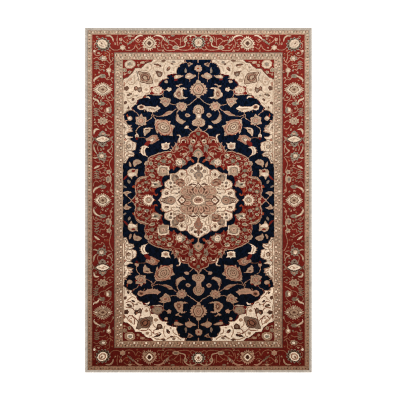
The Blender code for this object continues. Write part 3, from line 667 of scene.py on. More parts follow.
def inner_field_flowers(at_foot):
    """The flowers of the navy field next to the long axis."""
    light = PINK if at_foot else IVORY
    # near the head of the field
    fill([(3.6, 96.1), (6.0, 97.1), (7.8, 96.8), (7.4, 95.2), (7.2, 93.8), (5.4, 94.8)], SAND)
    each(teardrop, (6.3, 96.0, 1.4, 2.0, BROWN, -60), (9.0, 91.6, 1.7, 4.0, TAUPE, 0))
    rounded([(1.6, 87.9), (4.2, 89.0), (6.2, 90.1), (8.4, 89.0), (9.6, 87.2), (8.4, 86.0), (6.4, 85.4),
        (4.0, 86.3)], SAND)
    each(teardrop, (6.2, 89.2, 1.4, 2.4, PINK, 90), (6.6, 87.6, 2.2, 4.4, TAN, 70))
    disc(6.9, 87.6, 1.0, 0.5, light)
    rounded([(10.6, 87.7), (13.2, 88.4), (16.0, 88.3), (17.5, 87.0), (16.8, 85.7), (14.6, 85.8)], TAN)
    each(flower, (15.5, 86.9, (0.9, 0.7, light)), (15.6, 85.0, (1.2, 0.7, RED)),
        (18.0, 87.4, (0.8, 0.5, WINE)))
    stroke([(11.4, 81.7), (12.8, 81.5), (14.0, 80.3)], 0.9, SAND, 0.4)
    teardrop(14.8, 80.6, 1.6, 2.6, TAN, -70)
    # the palmette that holds a crescent open to the axis
    rounded([(12.4, 79.2), (15.2, 78.4), (16.2, 76.6), (17.3, 74.6), (16.8, 72.9), (14.8, 71.8),
        (13.0, 71.2), (10.8, 71.9), (10.9, 75.0), (11.0, 77.6)], TAN)
    leaf([(8.2, 78.4), (10.2, 79.3), (12.4, 78.4), (11.5, 75.2), (11.4, 73.0), (9.6, 72.0), (7.0, 72.7)],
        1.7, TAN)
    stroke([(8.8, 78.9), (10.8, 78.6), (11.9, 77.4), (11.9, 74.2), (10.6, 72.8), (8.6, 72.4)], 0.7, light)
    teardrop(13.9, 75.0, 3.8, 5.2, ROSE, 0, 0.5, 4, 0.25)
    stroke([(16.3, 75.8), (15.9, 73.4), (14.2, 72.2)], 0.5, light)
    teardrop(13.7, 75.0, 2.0, 3.2, BROWN, 0, 0.5)
    each(flower, (13.7, 74.8, (0.5, 0.9, TAN)), (20.7, 78.3, (1.8, 1.6, 5, 0.2, light, 20)),
        (21.2, 78.9, (0.8, 0.5, TAN)), (20.2, 78.0, (0.4, 0.5, SAND)), (22.7, 83.6, (1.3, 1.2, TAN)),
        (23.2, 84.9, (1.0, 0.5, WINE)))
    # the leafy palmette
    rounded([(19.7, 71.4), (22.2, 71.9), (24.4, 72.6), (27.9, 71.7), (26.4, 70.4), (27.3, 69.0),
        (25.6, 68.2), (24.6, 66.8), (23.0, 65.8), (21.2, 66.9), (20.0, 68.6)], TAN)
    each(stroke, ([(20.6, 71.4), (21.0, 69.0), (22.6, 67.2), (23.4, 66.6)], 0.5, ROSE),
        ([(26.2, 71.6), (25.2, 69.6), (25.4, 68.2)], 0.5, ROSE))
    each(flower, (23.4, 69.8, (2.5, 1.9, 7, 0.2, TAUPE), (2.0, 1.5, 7, 0.2, PINK)),
        (23.3, 69.6, (1.0, 0.8, 5, 0.2, ROSE)))
    # the round flower
    each(flower, (11.9, 66.2, (3.9, 3.3, 9, 0.2, TAN, 10), (3.0, 2.5, 9, 0.15, TAUPE, 10),
        (2.5, 2.1, 9, 0.15, PINK, 10)),
        (12.0, 66.2, (1.7, 1.4, 6, 0.15, ROSE), (1.2, 0.9, 6, 0.15, PINK)))
    rounded([(15.9, 60.4), (16.1, 57.6), (15.2, 55.6), (13.2, 54.3), (11.2, 53.9), (8.8, 55.8),
        (11.2, 56.4), (13.2, 58.0), (14.6, 60.4)], SAND)
    leaf([(10.4, 55.2), (13.0, 56.0), (14.8, 58.2)], 1.0, TAN)
    stroke([(15.3, 61.4), (15.8, 59.0), (15.6, 57.0)], 0.4, BROWN)
    rounded([(18.0, 62.5), (20.6, 63.1), (22.6, 61.8), (25.2, 60.4), (26.5, 59.5), (23.4, 59.3),
        (20.4, 60.2)], SAND)
    leaf([(18.8, 62.0), (21.6, 61.4), (25.4, 59.9)], 1.0, ROSE)
    teardrop(7.3, 60.0, 2.8, 4.0, TAN, 88, 0.5)
    flower(7.5, 60.0, (1.1, 0.6, ROSE), (0.6, 0.4, BROWN))
    teardrop(8.5, 51.4, 2.2, 3.8, TAN, -110, 0.5)
    disc(8.6, 51.5, 0.8, 0.6, light)


def outer_field_flowers(at_foot):
    """The flowers of the navy field farther from the long axis."""
    light = PINK if at_foot else IVORY
    # the comb leaf
    rounded([(26.4, 65.0), (28.0, 66.2), (28.9, 67.0), (30.0, 66.2), (33.0, 66.1), (36.6, 66.1),
        (38.4, 67.0), (40.2, 67.8), (42.2, 67.3), (43.0, 65.8), (42.2, 64.0), (40.4, 63.4), (38.2, 64.0),
        (36.0, 62.7), (32.8, 62.2), (29.8, 62.7), (28.0, 63.8)], light)
    leaf([(27.6, 65.0), (31.0, 64.4), (36.6, 64.8)], 1.2, SAND)
    for k in range(6):
        stroke([(28.8 + 1.8 * k, 62.4), (29.5 + 1.8 * k, 63.9)], 0.4, TAN)
    flower(40.2, 65.8, (1.8, 1.4, ROSE), (1.2, 0.8, UMBER))
    # the large turned palmette
    rounded([(16.6, 52.4), (19.6, 53.8), (19.4, 55.8), (22.2, 56.0), (25.4, 57.0), (30.2, 56.6),
        (30.9, 52.4), (30.2, 49.4), (29.0, 46.8), (28.0, 48.3), (26.4, 45.9), (24.6, 46.7), (22.6, 46.3),
        (20.8, 46.0), (18.5, 45.2), (18.3, 48.2), (17.8, 50.4)], TAN)
    for reach, yarn in ((1.0, RUST), (0.92, PINK), (0.72, BROWN), (0.64, TAN), (0.42, BROWN), (0.34, TAN),
            (0.26, light), (0.16, BROWN), (0.09, TAN)):
        petals(24.5, 51.3, 6.4 * reach, 5.0 * reach, 10, 0.08, yarn, 35)
    each(leaf, ([(19.8, 54.6), (23.4, 56.2), (28.6, 56.0)], 1.2, ROSE),
        ([(28.0, 54.6), (29.0, 52.2), (28.2, 49.6)], 1.5, ROSE, WINE),
        ([(19.4, 53.0), (18.6, 50.6), (19.2, 47.4)], 1.0, ROSE))
    # the pink-tipped flower
    for x, y, turn in ((40.3, 59.4, 5), (43.2, 57.9, -50), (37.8, 57.6, 45), (43.4, 54.6, -110),
            (38.0, 54.2, 120)):
        teardrop(x, y, 2.6, 3.0, PINK, turn, 0.4)
    each(flower, (40.6, 56.2, (3.9, 3.7, 9, 0.2, TAN)), (40.5, 56.2, (2.9, 2.7, 8, 0.2, TAUPE),
        (2.3, 2.1, 8, 0.2, PINK), (1.5, 1.4, 6, 0.15, ROSE), (0.8, 0.8, PINK)))
    if at_foot:
        for x, y in ((38.2, 58.9), (41.6, 59.9), (43.9, 56.6)):
            disc(x, y, 0.8, 0.6, RED)
    teardrop(43.4, 45.6, 3.0, 3.4, light, 0, 0.4)
    each(flower, (43.5, 45.2, (0.9, 0.8, TAN)), (43.4, 43.6, (0.9, 1.1, WINE)),
        (48.4, 57.7, (1.8, 1.6, TAN)), (48.7, 58.0, (0.8, 0.7, light)))
    leaf([(49.3, 58.6), (50.2, 59.8), (50.0, 61.2)], 1.0, RUST)
    # the sail leaf
    fill([(31.4, 51.1), (37.4, 51.4), (38.8, 50.4), (38.8, 47.4), (38.0, 45.2), (36.6, 46.8),
        (34.8, 48.2), (33.6, 50.2)], TAN)
    leaf([(34.2, 50.9), (37.6, 50.6), (38.2, 46.8)], 0.8, light)
    disc(36.1, 49.9, 1.2, 0.5, BROWN, -8)
    # the rose palmette, its red calyx and the crescent below
    rounded([(27.2, 42.6), (29.4, 44.4), (30.8, 45.8), (33.0, 46.0), (35.2, 44.6), (37.2, 43.4),
        (36.6, 41.8), (35.4, 40.4), (33.0, 39.6), (30.8, 41.2)], SAND)
    each(flower, (32.4, 43.0, (4.4, 2.8, 8, 0.15, ROSE, -25)),
        (32.8, 42.9, (2.9, 2.0, 8, 0.15, PINK, -25), (2.0, 1.3, 6, 0.15, TAUPE, -25)),
        (33.2, 42.7, (1.2, 0.7, light, -25)), (28.8, 42.8, (0.9, 0.5, RUST, -25)))
    stroke([(34.6, 41.4), (35.9, 40.0), (37.2, 38.6)], 2.6, RED, 0.3)
    rounded([(35.0, 37.4), (37.2, 38.2), (39.4, 38.2), (40.2, 36.4), (40.9, 34.4), (40.7, 33.0),
        (39.6, 31.9), (37.6, 31.2), (35.2, 30.1), (36.9, 31.8), (37.5, 33.6), (37.5, 35.2), (36.8, 36.6)],
        IVORY)
    stroke([(38.2, 37.2), (39.1, 35.2), (39.0, 32.6)], 0.7, SAND)
    for x, y in ((40.2, 37.2), (41.0, 35.4), (41.2, 33.8)):
        disc(x, y, 0.6, 0.4, TAN, -30)
    # the square flower
    rounded([(19.6, 40.6), (21.6, 40.2), (22.8, 41.0), (24.0, 40.3), (26.2, 40.2), (26.0, 38.2),
        (26.0, 36.6), (24.0, 35.8), (22.0, 36.0), (20.4, 37.0), (20.4, 38.6)], IVORY)
    flower(23.0, 38.2, (1.9, 1.6, 6, 0.2, TAN), (0.8, 0.7, ROSE))


def side_flowers():
    """The flowers between the medallion's side tip and the side ornament."""
    rounded([(39.9, 26.6), (41.2, 28.2), (43.2, 29.0), (45.4, 28.0), (46.0, 26.0), (45.4, 23.2),
        (44.0, 24.6), (42.0, 25.2)], TAN)
    flower(43.6, 26.6, (1.3, 1.0, SAND), (0.6, 0.5, ROSE))
    teardrop(48.1, 25.5, 1.7, 4.2, SAND, -20)
    each(rounded, ([(42.6, 21.8), (44.4, 21.4), (46.4, 22.2), (48.6, 21.6), (49.8, 20.0), (49.6, 17.4),
        (48.4, 16.0), (47.3, 14.4), (46.4, 16.2), (44.6, 17.2), (42.8, 16.5), (42.9, 19.0)], TAN),
        ([(43.6, 18.6), (46.4, 19.2), (49.2, 19.0), (48.6, 17.0), (46.6, 16.8), (44.4, 17.6)], IVORY))
    disc(46.1, 20.6, 1.4, 0.8, RED)
    leaf([(49.9, 18.0), (50.8, 16.2), (53.3, 14.0)], 1.3, RED)
    teardrop(49.1, 13.0, 1.8, 3.0, TAUPE, -30)
    disc(45.4, 9.6, 0.9, 1.0, RUST)
    leaf([(50.6, 9.0), (52.2, 9.8), (53.3, 10.4)], 1.3, TAUPE)
    rounded([(47.2, 5.2), (48.6, 6.2), (50.4, 6.6), (52.8, 5.9), (51.8, 4.2), (50.5, 2.6), (49.4, 4.2)],
        TAN)
    disc(50.2, 5.3, 0.9, 0.6, ROSE)


def spandrel(at_foot):
    """The ivory spandrel towards the corner of the field."""
    edge = scallops(SPANDREL)
    fill(closed_outside(edge), IVORY)
    stroke(edge, 0.5, SAND, curved=False)
    # red accents where the spandrel meets the navy
    for line in ([(16.0, 88.9), (18.6, 88.6), (21.6, 87.9)], [(25.2, 85.2), (26.4, 83.6), (28.0, 81.2)],
            [(37.0, 73.9), (38.5, 73.4), (39.2, 72.0)], [(42.6, 70.0), (43.6, 68.4)],
            [(9.6, 98.8), (9.2, 97.6)], [(46.8, 65.0), (46.2, 63.8)]):
        stroke(line, 0.7, WINE)
    # the round flower on its rose ground
    rounded([(25.4, 75.2), (25.2, 77.6), (26.0, 79.8), (28.4, 80.8), (31.4, 80.4), (33.6, 79.8),
        (33.4, 77.0), (34.2, 75.0), (30.0, 74.6)], RED)
    each(flower, (29.1, 77.7, (4.1, 3.1, 9, 0.15, TAUPE if at_foot else PINK)),
        (29.0, 77.6, (3.3, 2.4, 9, 0.18, SAND if at_foot else IVORY)),
        (28.8, 77.6, (2.1, 1.6, 7, 0.2, GREY if at_foot else TAN),
        (1.3, 1.0, 5, 0.2, SAND if at_foot else IVORY)), (28.8, 77.7, (0.5, 0.4, OLIVE)))
    leaf([(34.0, 71.4), (35.0, 72.7), (36.6, 73.0), (38.0, 72.6)], 1.4, IVORY)
    disc(37.9, 72.8, 0.8, 0.5, RUST)
    # the broad soft scrolls
    line_yarn, deep, tip = (ROSE, UMBER, 43.8) if at_foot else (TAN, BROWN, 42.4)
    each(stroke, ([(12.6, 98.2), (15.2, 96.2), (18.8, 96.4), (22.0, 97.8)], 0.9, TAN),
        ([(15.4, 94.6), (17.4, 93.4), (17.6, 91.2)], 0.8, TAN),
        ([(24.2, 97.4), (28.4, 98.2), (32.2, 96.6)], 0.9, TAN),
        ([(23.4, 88.8), (24.4, 91.4), (24.4, 94.2), (23.2, 96.4)], 0.8, TAN),
        ([(30.4, 91.0), (31.4, 92.6), (31.0, 94.2), (27.4, 93.4)], 0.7, line_yarn),
        ([(31.6, 93.6), (33.6, 92.4), (35.6, 90.6), (37.2, 91.8), (42.0, 91.6)], 0.7, line_yarn),
        ([(33.0, 92.8), (33.0, 95.4), (34.6, 96.0)], 0.7, TAN),
        ([(30.4, 89.4), (31.8, 88.0), (32.4, 85.0)], 0.8, TAN),
        ([(42.8, 85.4), (41.8, 83.4), (41.0, 81.2)], 0.7, line_yarn),
        ([(42.8, 85.4), (44.8, 83.0), (46.6, 81.2)], 0.7, line_yarn),
        ([(43.4, 90.8), (42.9, 88.0), (42.6, 84.8)], 0.7, TAUPE),
        ([(45.4, 87.6), (44.9, 84.8), (46.0, 82.2), (48.6, 81.6), (50.2, 83.8)], 0.7, line_yarn),
        ([(46.2, 86.8), (48.0, 86.0), (50.0, 84.4), (51.4, 82.0)], 0.7, TAN),
        ([(34.2, 81.0), (33.9, 78.4), (35.0, 75.8), (37.4, 74.8)], 0.8, SAND),
        ([(40.6, 81.6), (41.0, 79.0), (39.4, 76.2)], 0.7, line_yarn),
        ([(44.2, 80.4), (45.4, 77.4), (47.2, 76.0), (51.0, 75.8)], 0.7, line_yarn),
        ([(40.4, 73.0), (42.4, 72.2), (44.4, 73.6), (46.8, 72.4)], 0.7, TAN),
        ([(45.6, 74.8), (46.6, 72.6), (48.4, 71.4), (50.6, 72.2)], 0.7, line_yarn),
        ([(44.6, 69.0), (46.6, 67.8), (48.4, 68.8), (50.2, 70.6)], 0.7, TAN),
        ([(47.4, 66.6), (48.8, 64.4), (51.2, 62.8)], 0.7, TAN),
        ([(52.6, 98.0), (52.8, 88.0), (52.6, 76.0), (52.7, 62.0)], 0.8, TAN))
    # the large palmette that points into the corner, and the coil in it
    body = smooth([(32.6, 82.3), (33.3, 86.6), (35.2, 89.7), (39.4, 90.1), (tip, 90.5), (tip - 1.4, 87.0),
        (41.2, 83.8), (37.4, 82.7)], True)
    fill(body, TAUPE if at_foot else SAND)
    stroke(body, 0.5, BROWN, curved=False)
    for reach, yarn in ((3.7, BROWN), (3.1, ROSE), (2.4, deep), (1.7, ROSE if at_foot else TAN)):
        petals(37.7, 86.6, reach, 0.84 * reach, 7, 0.08, yarn, 20)
    stroke([(35.6, 84.6), (36.4, 87.2), (38.6, 88.4), (40.2, 86.6), (38.4, 85.4)], 0.7, deep)
    disc(35.3, 84.9, 0.8, 0.6, UMBER)
    # the brown palmettes and leaves
    fill([(25.0, 90.6), (27.6, 91.0), (30.4, 91.4), (29.6, 89.4), (29.0, 87.6), (26.6, 86.8),
        (25.2, 88.4)], BROWN)
    each(flower, (27.2, 88.8, (1.1, 0.9, TAUPE, 30)), (29.2, 90.6, (1.0, 0.6, deep, 20)),
        (26.2, 90.2, (0.8, 0.4, deep, 0)), (41.2, 77.8, (1.5, 2.2, 5, 0.2, BROWN, 12)),
        (43.8, 78.8, (1.6, 1.9, 5, 0.2, deep, -20)), (41.4, 77.6, (0.6, 1.1, TAUPE, 12)),
        (43.6, 79.2, (0.6, 0.8, ROSE, -20)), (50.7, 79.0, (1.9, 1.8, 5, 0.2, BROWN)),
        (51.0, 79.4, (0.9, 0.9, deep)), (36.8, 77.9, (1.3, 1.2, 6, 0.15, TAN)),
        (29.8, 84.4, (1.6, 1.3, 6, 0.15, SAND)), (36.0, 93.8, (1.4, 1.1, 6, 0.15, TAN)))
    for x, y, rx, ry, turn, yarn in ((17.3, 97.5, 1.3, 0.9, 10, TAUPE), (18.8, 96.2, 0.9, 0.7, 0, BROWN),
            (21.2, 92.6, 1.1, 1.9, 38, deep), (20.7, 93.3, 0.5, 0.8, 38, ROSE),
            (24.4, 98.4, 1.8, 0.7, 0, BROWN), (29.8, 84.4, 0.8, 0.6, 0, TAN),
            (27.4, 95.0, 1.3, 0.8, 40, deep), (29.6, 95.8, 1.9, 0.7, 5, deep),
            (29.0, 94.8, 1.0, 0.4, 10, ROSE), (36.8, 77.9, 0.7, 0.6, 0, SAND),
            (48.0, 85.2, 1.4, 0.8, -30, PINK), (47.0, 83.4, 0.8, 0.5, 0, SAND),
            (48.6, 74.4, 2.0, 0.9, -15, BROWN), (48.6, 74.4, 0.8, 0.5, 0, OLIVE),
            (46.2, 71.0, 1.2, 0.8, -30, deep), (51.5, 68.7, 1.1, 1.2, 20, BROWN),
            (49.6, 65.2, 1.0, 0.7, -40, deep), (36.0, 93.8, 0.6, 0.5, 0, TAUPE),
            (43.4, 73.6, 0.8, 0.6, 0, TAUPE), (19.6, 90.0, 0.8, 0.5, 0, TAN),
            (13.6, 94.6, 0.5, 0.7, 0, TAN),
            (52.2, 82.0, 0.7, 1.6, 0, ROSE)):
        disc(x, y, rx, ry, yarn, turn)


def corner_triangle(at_foot):
    """The red triangle in the corner of the field."""
    edge = scallops(CORNER)
    fill(closed_outside(edge), RED)
    stroke(edge, 0.6, BROWN, curved=False)
    each(flower, (48.4, 95.9, (3.9, 3.2, 8, 0.06, TAN), (3.3, 2.7, 8, 0.08, SAND if at_foot else IVORY)),
        (48.2, 95.9, (2.3, 1.9, 6, 0.2, IVORY if at_foot else TAN)),
        (48.4, 96.1, (1.5, 1.2, 6, 0.2, GREY if at_foot else TAUPE)),
        (39.4, 97.2, (1.7, 1.1, 6, 0.15, TAN)))
    each(rosette, (42.6, 95.3, 1.0, (TAN, ROSE), 5), (48.7, 90.2, 1.3, (TAN, OLIVE), 5),
        (52.0, 91.8, 1.6, (TAN, OLIVE, TAN), 6), (52.0, 88.8, 1.0, (ROSE, TAN), 5))
    for line in ([(35.4, 98.0), (37.2, 98.0), (38.4, 97.4)], [(40.6, 96.6), (41.4, 95.8), (42.0, 95.0)],
            [(46.6, 91.0), (47.6, 90.6)], [(50.0, 92.8), (51.0, 92.6)], [(50.0, 89.4), (51.2, 89.2)]):
        stroke(line, 0.5, ROSE)


def side_ornament(at_foot):
    """The ivory ornament against the side border."""
    edge = scallops(SIDE_ORNAMENT, ORNAMENT_MIDDLE)
    fill(closed_outside(edge), IVORY)
    stroke(edge, 0.5, SAND, curved=False)
    # shading towards the border
    each(stroke, ([(52.6, 57.0), (52.2, 50.0), (52.6, 42.0), (52.2, 34.0), (52.8, 27.0)], 1.0, TAN),
        ([(48.4, 41.6), (50.4, 40.8), (50.6, 36.4), (49.4, 33.2)], 0.8, SAND),
        ([(46.4, 32.4), (48.8, 32.8), (50.6, 31.6)], 1.1, SAND),
        ([(47.2, 50.8), (49.0, 49.6), (50.8, 49.4)], 0.9, PINK),
        ([(47.6, 52.2), (49.2, 51.2)], 0.8, SAND),
        ([(46.9, 48.6), (49.2, 48.4), (51.4, 47.6)], 0.8, SAND),
        ([(50.6, 56.0), (52.0, 55.2), (53.0, 53.4)], 0.8, PINK))
    # scrolls
    each(stroke, ([(52.6, 54.0), (51.2, 53.0), (50.0, 51.0), (50.4, 48.8), (52.0, 47.2)], 0.8, IVORY),
        ([(51.9, 54.8), (50.2, 53.2), (49.0, 50.8)], 0.5, TAUPE),
        ([(52.8, 52.6), (51.4, 51.0), (51.4, 49.4)], 0.5, TAUPE),
        ([(50.4, 46.0), (51.8, 45.8), (52.4, 44.4), (51.6, 43.4)], 0.6, TAUPE),
        ([(46.8, 44.4), (48.6, 43.9), (49.8, 44.7)], 0.6, IVORY),
        ([(48.0, 42.8), (49.6, 43.2), (50.8, 42.4)], 0.5, TAUPE),
        ([(46.2, 41.0), (46.9, 39.2), (46.6, 36.8), (47.2, 35.2)], 0.5, SAND),
        ([(50.6, 39.8), (51.8, 38.2), (51.2, 36.2)], 0.6, SAND),
        ([(47.0, 34.6), (48.6, 34.9), (50.2, 34.3), (51.8, 34.8)], 0.5, TAUPE),
        ([(47.4, 31.4), (49.0, 30.8), (50.6, 31.4), (51.4, 30.2)], 0.5, TAUPE),
        ([(50.8, 28.8), (51.6, 27.6), (52.8, 27.4)], 0.6, TAUPE),
        ([(51.2, 33.4), (52.6, 32.2), (52.4, 30.4)], 0.5, ROSE))
    each(flower, (51.5, 42.5, (0.8, 0.8, RUST), (0.4, 0.4, PINK)),
        (49.2, 38.0, (1.7, 1.6, 6, 0.2, BROWN if at_foot else TAUPE)), (49.0, 38.2, (0.9, 0.9, TAN)),
        (52.3, 40.6, (0.5, 0.8, TAUPE)), (52.2, 51.2, (0.5, 0.5, BROWN)))
    each(sprig, (46.2, 39.2, -20, SAND, TAN, 0.7), (51.4, 29.2, 30, SAND, TAUPE, 0.7))


# Drawn heights along the side borders, and where they are woven
HEAD_SPACING = [(-10, -10), (130, 130)]
FOOT_SPACING = [(-10, -10), (5, 5.2), (9.5, 11.2), (15, 15.2), (20, 21.6), (24, 27.4), (31.3, 36.8),
    (36.5, 40.2), (43, 47.4), (49.5, 53.6), (56, 58.4), (64, 66.4), (69.5, 70.8), (78, 79), (92, 92.6),
    (100, 100.4), (108, 108), (130, 130)]


def side_stems():
    """The stems of the main border along a side."""
    for line in ([(60.2, 4.6), (61.4, 6.0), (62.0, 8.4), (61.2, 11.0), (62.4, 13.6)], [(61.9, 12.0),
            (61.8, 15.0), (62.4, 18.2), (61.6, 21.2), (62.8, 25.0), (62.2, 27.8), (60.4, 30.4)],
            [(65.4, 15.6), (67.2, 16.6), (69.4, 15.4), (70.6, 16.6), (72.6, 16.2)],
            [(65.2, 17.8), (66.6, 19.4), (68.8, 19.0), (69.6, 20.8)],
            [(64.8, 22.6), (67.2, 23.0), (69.8, 22.0), (72.0, 21.2)],
            [(66.4, 26.8), (68.0, 25.8), (69.0, 27.0), (71.0, 26.6), (73.0, 27.8)],
            [(70.6, 12.8), (72.2, 13.6), (73.6, 12.4), (74.2, 10.0)],
            [(61.0, 33.6), (60.6, 36.4), (61.6, 39.2), (60.4, 41.0)],
            [(70.6, 34.8), (71.2, 37.0), (70.4, 39.4)],
            [(60.2, 51.0), (61.8, 50.2), (63.4, 50.8), (64.6, 52.6)],
            [(70.4, 51.6), (72.0, 53.4), (73.6, 53.0)], [(60.6, 54.6), (62.4, 56.0), (64.0, 55.6)],
            [(61.2, 58.4), (63.4, 59.6), (65.6, 61.4), (66.0, 64.0)],
            [(69.4, 58.8), (70.8, 60.2), (71.6, 62.0), (73.8, 64.4)],
            [(66.4, 61.4), (68.8, 62.2), (70.2, 64.2), (69.2, 66.2)],
            [(61.6, 65.2), (62.0, 67.4), (63.8, 69.8), (66.0, 70.4)],
            [(60.6, 70.6), (62.6, 70.4), (64.4, 71.6), (65.0, 73.2)],
            [(73.4, 66.0), (74.2, 68.2), (73.4, 69.8)], [(60.8, 73.4), (61.6, 75.0)],
            [(60.6, 83.2), (62.2, 85.4), (64.4, 85.0), (65.6, 86.6)],
            [(62.9, 90.0), (62.6, 87.6), (64.2, 86.0)], [(62.8, 93.2), (62.2, 95.4), (60.4, 96.2)],
            [(60.4, 98.8), (62.6, 96.8), (64.2, 98.2), (65.4, 99.4)],
            [(61.8, 98.0), (62.9, 100.4), (62.8, 103.6), (64.6, 105.0)],
            [(66.0, 91.4), (67.6, 92.4), (69.4, 91.8), (70.6, 93.4), (73.4, 93.0)],
            [(65.4, 94.6), (67.6, 95.8), (70.0, 95.6), (71.2, 97.6), (73.6, 97.2)],
            [(70.2, 99.6), (71.6, 100.8), (73.8, 99.8)],
            [(68.6, 103.4), (70.2, 102.2), (72.4, 102.4), (73.8, 104.0)]):
        stroke(line, 0.6, ROSE)


def side_border(at_foot):
    """The main border along a side, drawn upwards from the middle."""
    side_stems()
    # leafy sprays beside the outer guard
    for x, y in ((71.8, 17.4), (72.2, 61.6), (71.6, 94.6)):
        for k in range(4):
            leaf([(x - 2.0, y - 2.4 + 1.5 * k), (x, y - 1.4 + 1.5 * k), (x + 2.2, y - 2.0 + 1.5 * k)],
                0.9, (TAUPE, OLIVE)[k % 2])
        stroke([(x + 0.6, y - 2.6), (x, y), (x + 0.9, y + 3.0)], 0.4, ROSE)
    # the middle palmette
    lozenge(67.5, 0, 6.2, 5.0, IVORY)
    rosette(61.6, 7.0, 1.2, (ROSE, SAND), 5)
    crook(67.6, 9.6, 72.0, 8.6, 73.7, 5.2)
    each(flower, (63.6, 14.6, (2.0, 2.6, 6, 0.2, TAN)), (63.9, 14.8, (1.1, 1.5, 6, 0.2, TAUPE)),
        (63.2, 19.9, (1.9, 1.8, 5, 0.35, TAN)), (63.0, 19.7, (0.8, 0.7, TAUPE)))
    each(leaf, ([(62.0, 12.4), (61.6, 15.4), (62.3, 18.2)], 0.8, TAN),
        ([(69.6, 24.4), (71.2, 23.7), (73.6, 22.4)], 1.6, TAN, IVORY))
    # the serrated flower
    each(flower, (68.2, 31.0, (3.8, 3.3, 9, 0.3, TAUPE), (3.0, 2.6, 9, 0.25, GREY)),
        (68.3, 31.1, (2.4, 2.1, 8, 0.25, BROWN)), (68.3, 31.2, (1.9, 1.7, 7, 0.2, TAN)),
        (68.4, 31.3, (1.2, 1.1, 5, 0.2, IVORY)), (68.2, 31.0, (0.4, 0.4, PINK)))
    each(leaf, ([(71.2, 30.6), (72.6, 29.8), (74.6, 30.0)], 1.1, TAN),
        ([(60.8, 31.2), (62.4, 30.6), (64.8, 30.4)], 0.8, ROSE),
        ([(65.4, 28.6), (66.6, 27.6), (67.2, 28.6)], 1.0, TAUPE),
        ([(74.0, 39.4), (73.4, 35.8), (71.6, 32.6)], 1.1, TAN))
    stroke([(60.8, 38.6), (62.2, 36.4), (63.9, 34.9), (62.4, 33.4), (61.2, 32.2)], 0.7, SAND)
    disc(63.7, 34.9, 0.8, 0.7, PINK)
    eye()
    leaf([(69.8, 49.8), (72.2, 50.0), (73.4, 48.6), (73.7, 46.4)], 1.6, TAN, IVORY)
    # the star flower and the bud
    each(flower,
        (67.5, 55.9, (3.7, 2.8, 8, 0.3, TAN), (2.4, 1.8, 8, 0.25, TAUPE), (1.8, 1.4, 6, 0.25, TAN)),
        (67.5, 56.0, (0.6, 0.5, BROWN)), (63.5, 63.6, (2.0, 2.4, 5, 0.25, TAN)),
        (62.3, 63.4, (1.0, 2.0, TAUPE)), (64.0, 63.8, (0.7, 1.2, IVORY)), (63.0, 62.8, (0.4, 0.6, ROSE)))
    crook(68.4, 68.2, 71.2, 70.4, 73.9, 72.6)
    # the large diamond palmette
    lozenge(67.5, 78.1, 6.9, 5.1, SAND if at_foot else IVORY)
    crook(67.8, 87.6, 71.8, 86.4, 73.5, 83.2)
    each(flower, (63.2, 91.6, (1.9, 1.9, 6, 0.16, TAN)), (63.4, 91.4, (0.9, 0.8, IVORY)))
    leaf([(63.4, 90.2), (63.0, 88.8), (62.9, 87.6)], 0.9, TAN)
    each(flower, (66.7, 91.4, (0.7, 0.6, TAUPE)), (67.2, 100.1, (2.8, 2.1, 7, 0.3, TAN)),
        (67.1, 100.1, (1.8, 1.4, 6, 0.25, TAUPE), (1.2, 0.9, 6, 0.25, IVORY)),
        (68.9, 100.0, (0.8, 0.9, TAUPE)), (70.4, 103.8, (0.9, 0.6, TAN)),
        (73.4, 105.2, (0.8, 0.9, IVORY)))


def lozenge(x, y, rx, ry, light):
    """A wide serrated palmette of rings."""
    for part, yarn, teeth, bite in ((1.06, TAN, 6, 0.2), (0.84, TAUPE, 6, 0.12), (0.76, light, 6, 0.12),
            (0.56, BROWN, 5, 0.08), (0.47, TAN, 5, 0.08), (0.3, SAND, 4, 0.1), (0.17, BROWN, 0, 0)):
        diamond(x, y, rx * part, ry * part, yarn, teeth, bite)
    for sign in (-1, 1):
        each(flower, (x + 0.66 * rx * sign, y, (0.7, 0.45, IVORY)),
            (x + 0.3 * sign, y + 0.62 * ry * sign, (0.6, 0.35, IVORY)),
            (x + 0.36 * rx * sign, y + 0.34 * ry, (0.5, 0.4, BROWN)))


def diamond(x, y, rx, ry, yarn, teeth=0, bite=0.0):
    """A rounded diamond, its edge cut into teeth."""
    place, u, v = local(x, y, rx + 0.3, 0)
    far = (np.abs(u / rx) ** 1.35 + np.abs(v / ry) ** 1.35) ** (1 / 1.35)
    edge = 1 - bite * (0.5 + 0.5 * np.cos(4 * teeth * np.arctan2(np.abs(v) / ry, np.abs(u) / rx)))
    paper[place][far < edge] = yarn


def crook(x, y, bend_x, bend_y, tip_x, tip_y):
    """A grey calyx whose stem bends over to a light tip."""
    each(flower, (x, y, (2.8, 1.5, 7, 0.2, TAUPE)), (x + 0.2, y, (1.8, 0.9, 6, 0.2, OLIVE)),
        (x + 1.2, y + 0.2, (0.7, 0.5, TAN)))
    leaf([(x + 1.6, y), (bend_x, bend_y), (tip_x, (bend_y + tip_y) / 2), (tip_x, tip_y)], 1.6, TAN, IVORY)


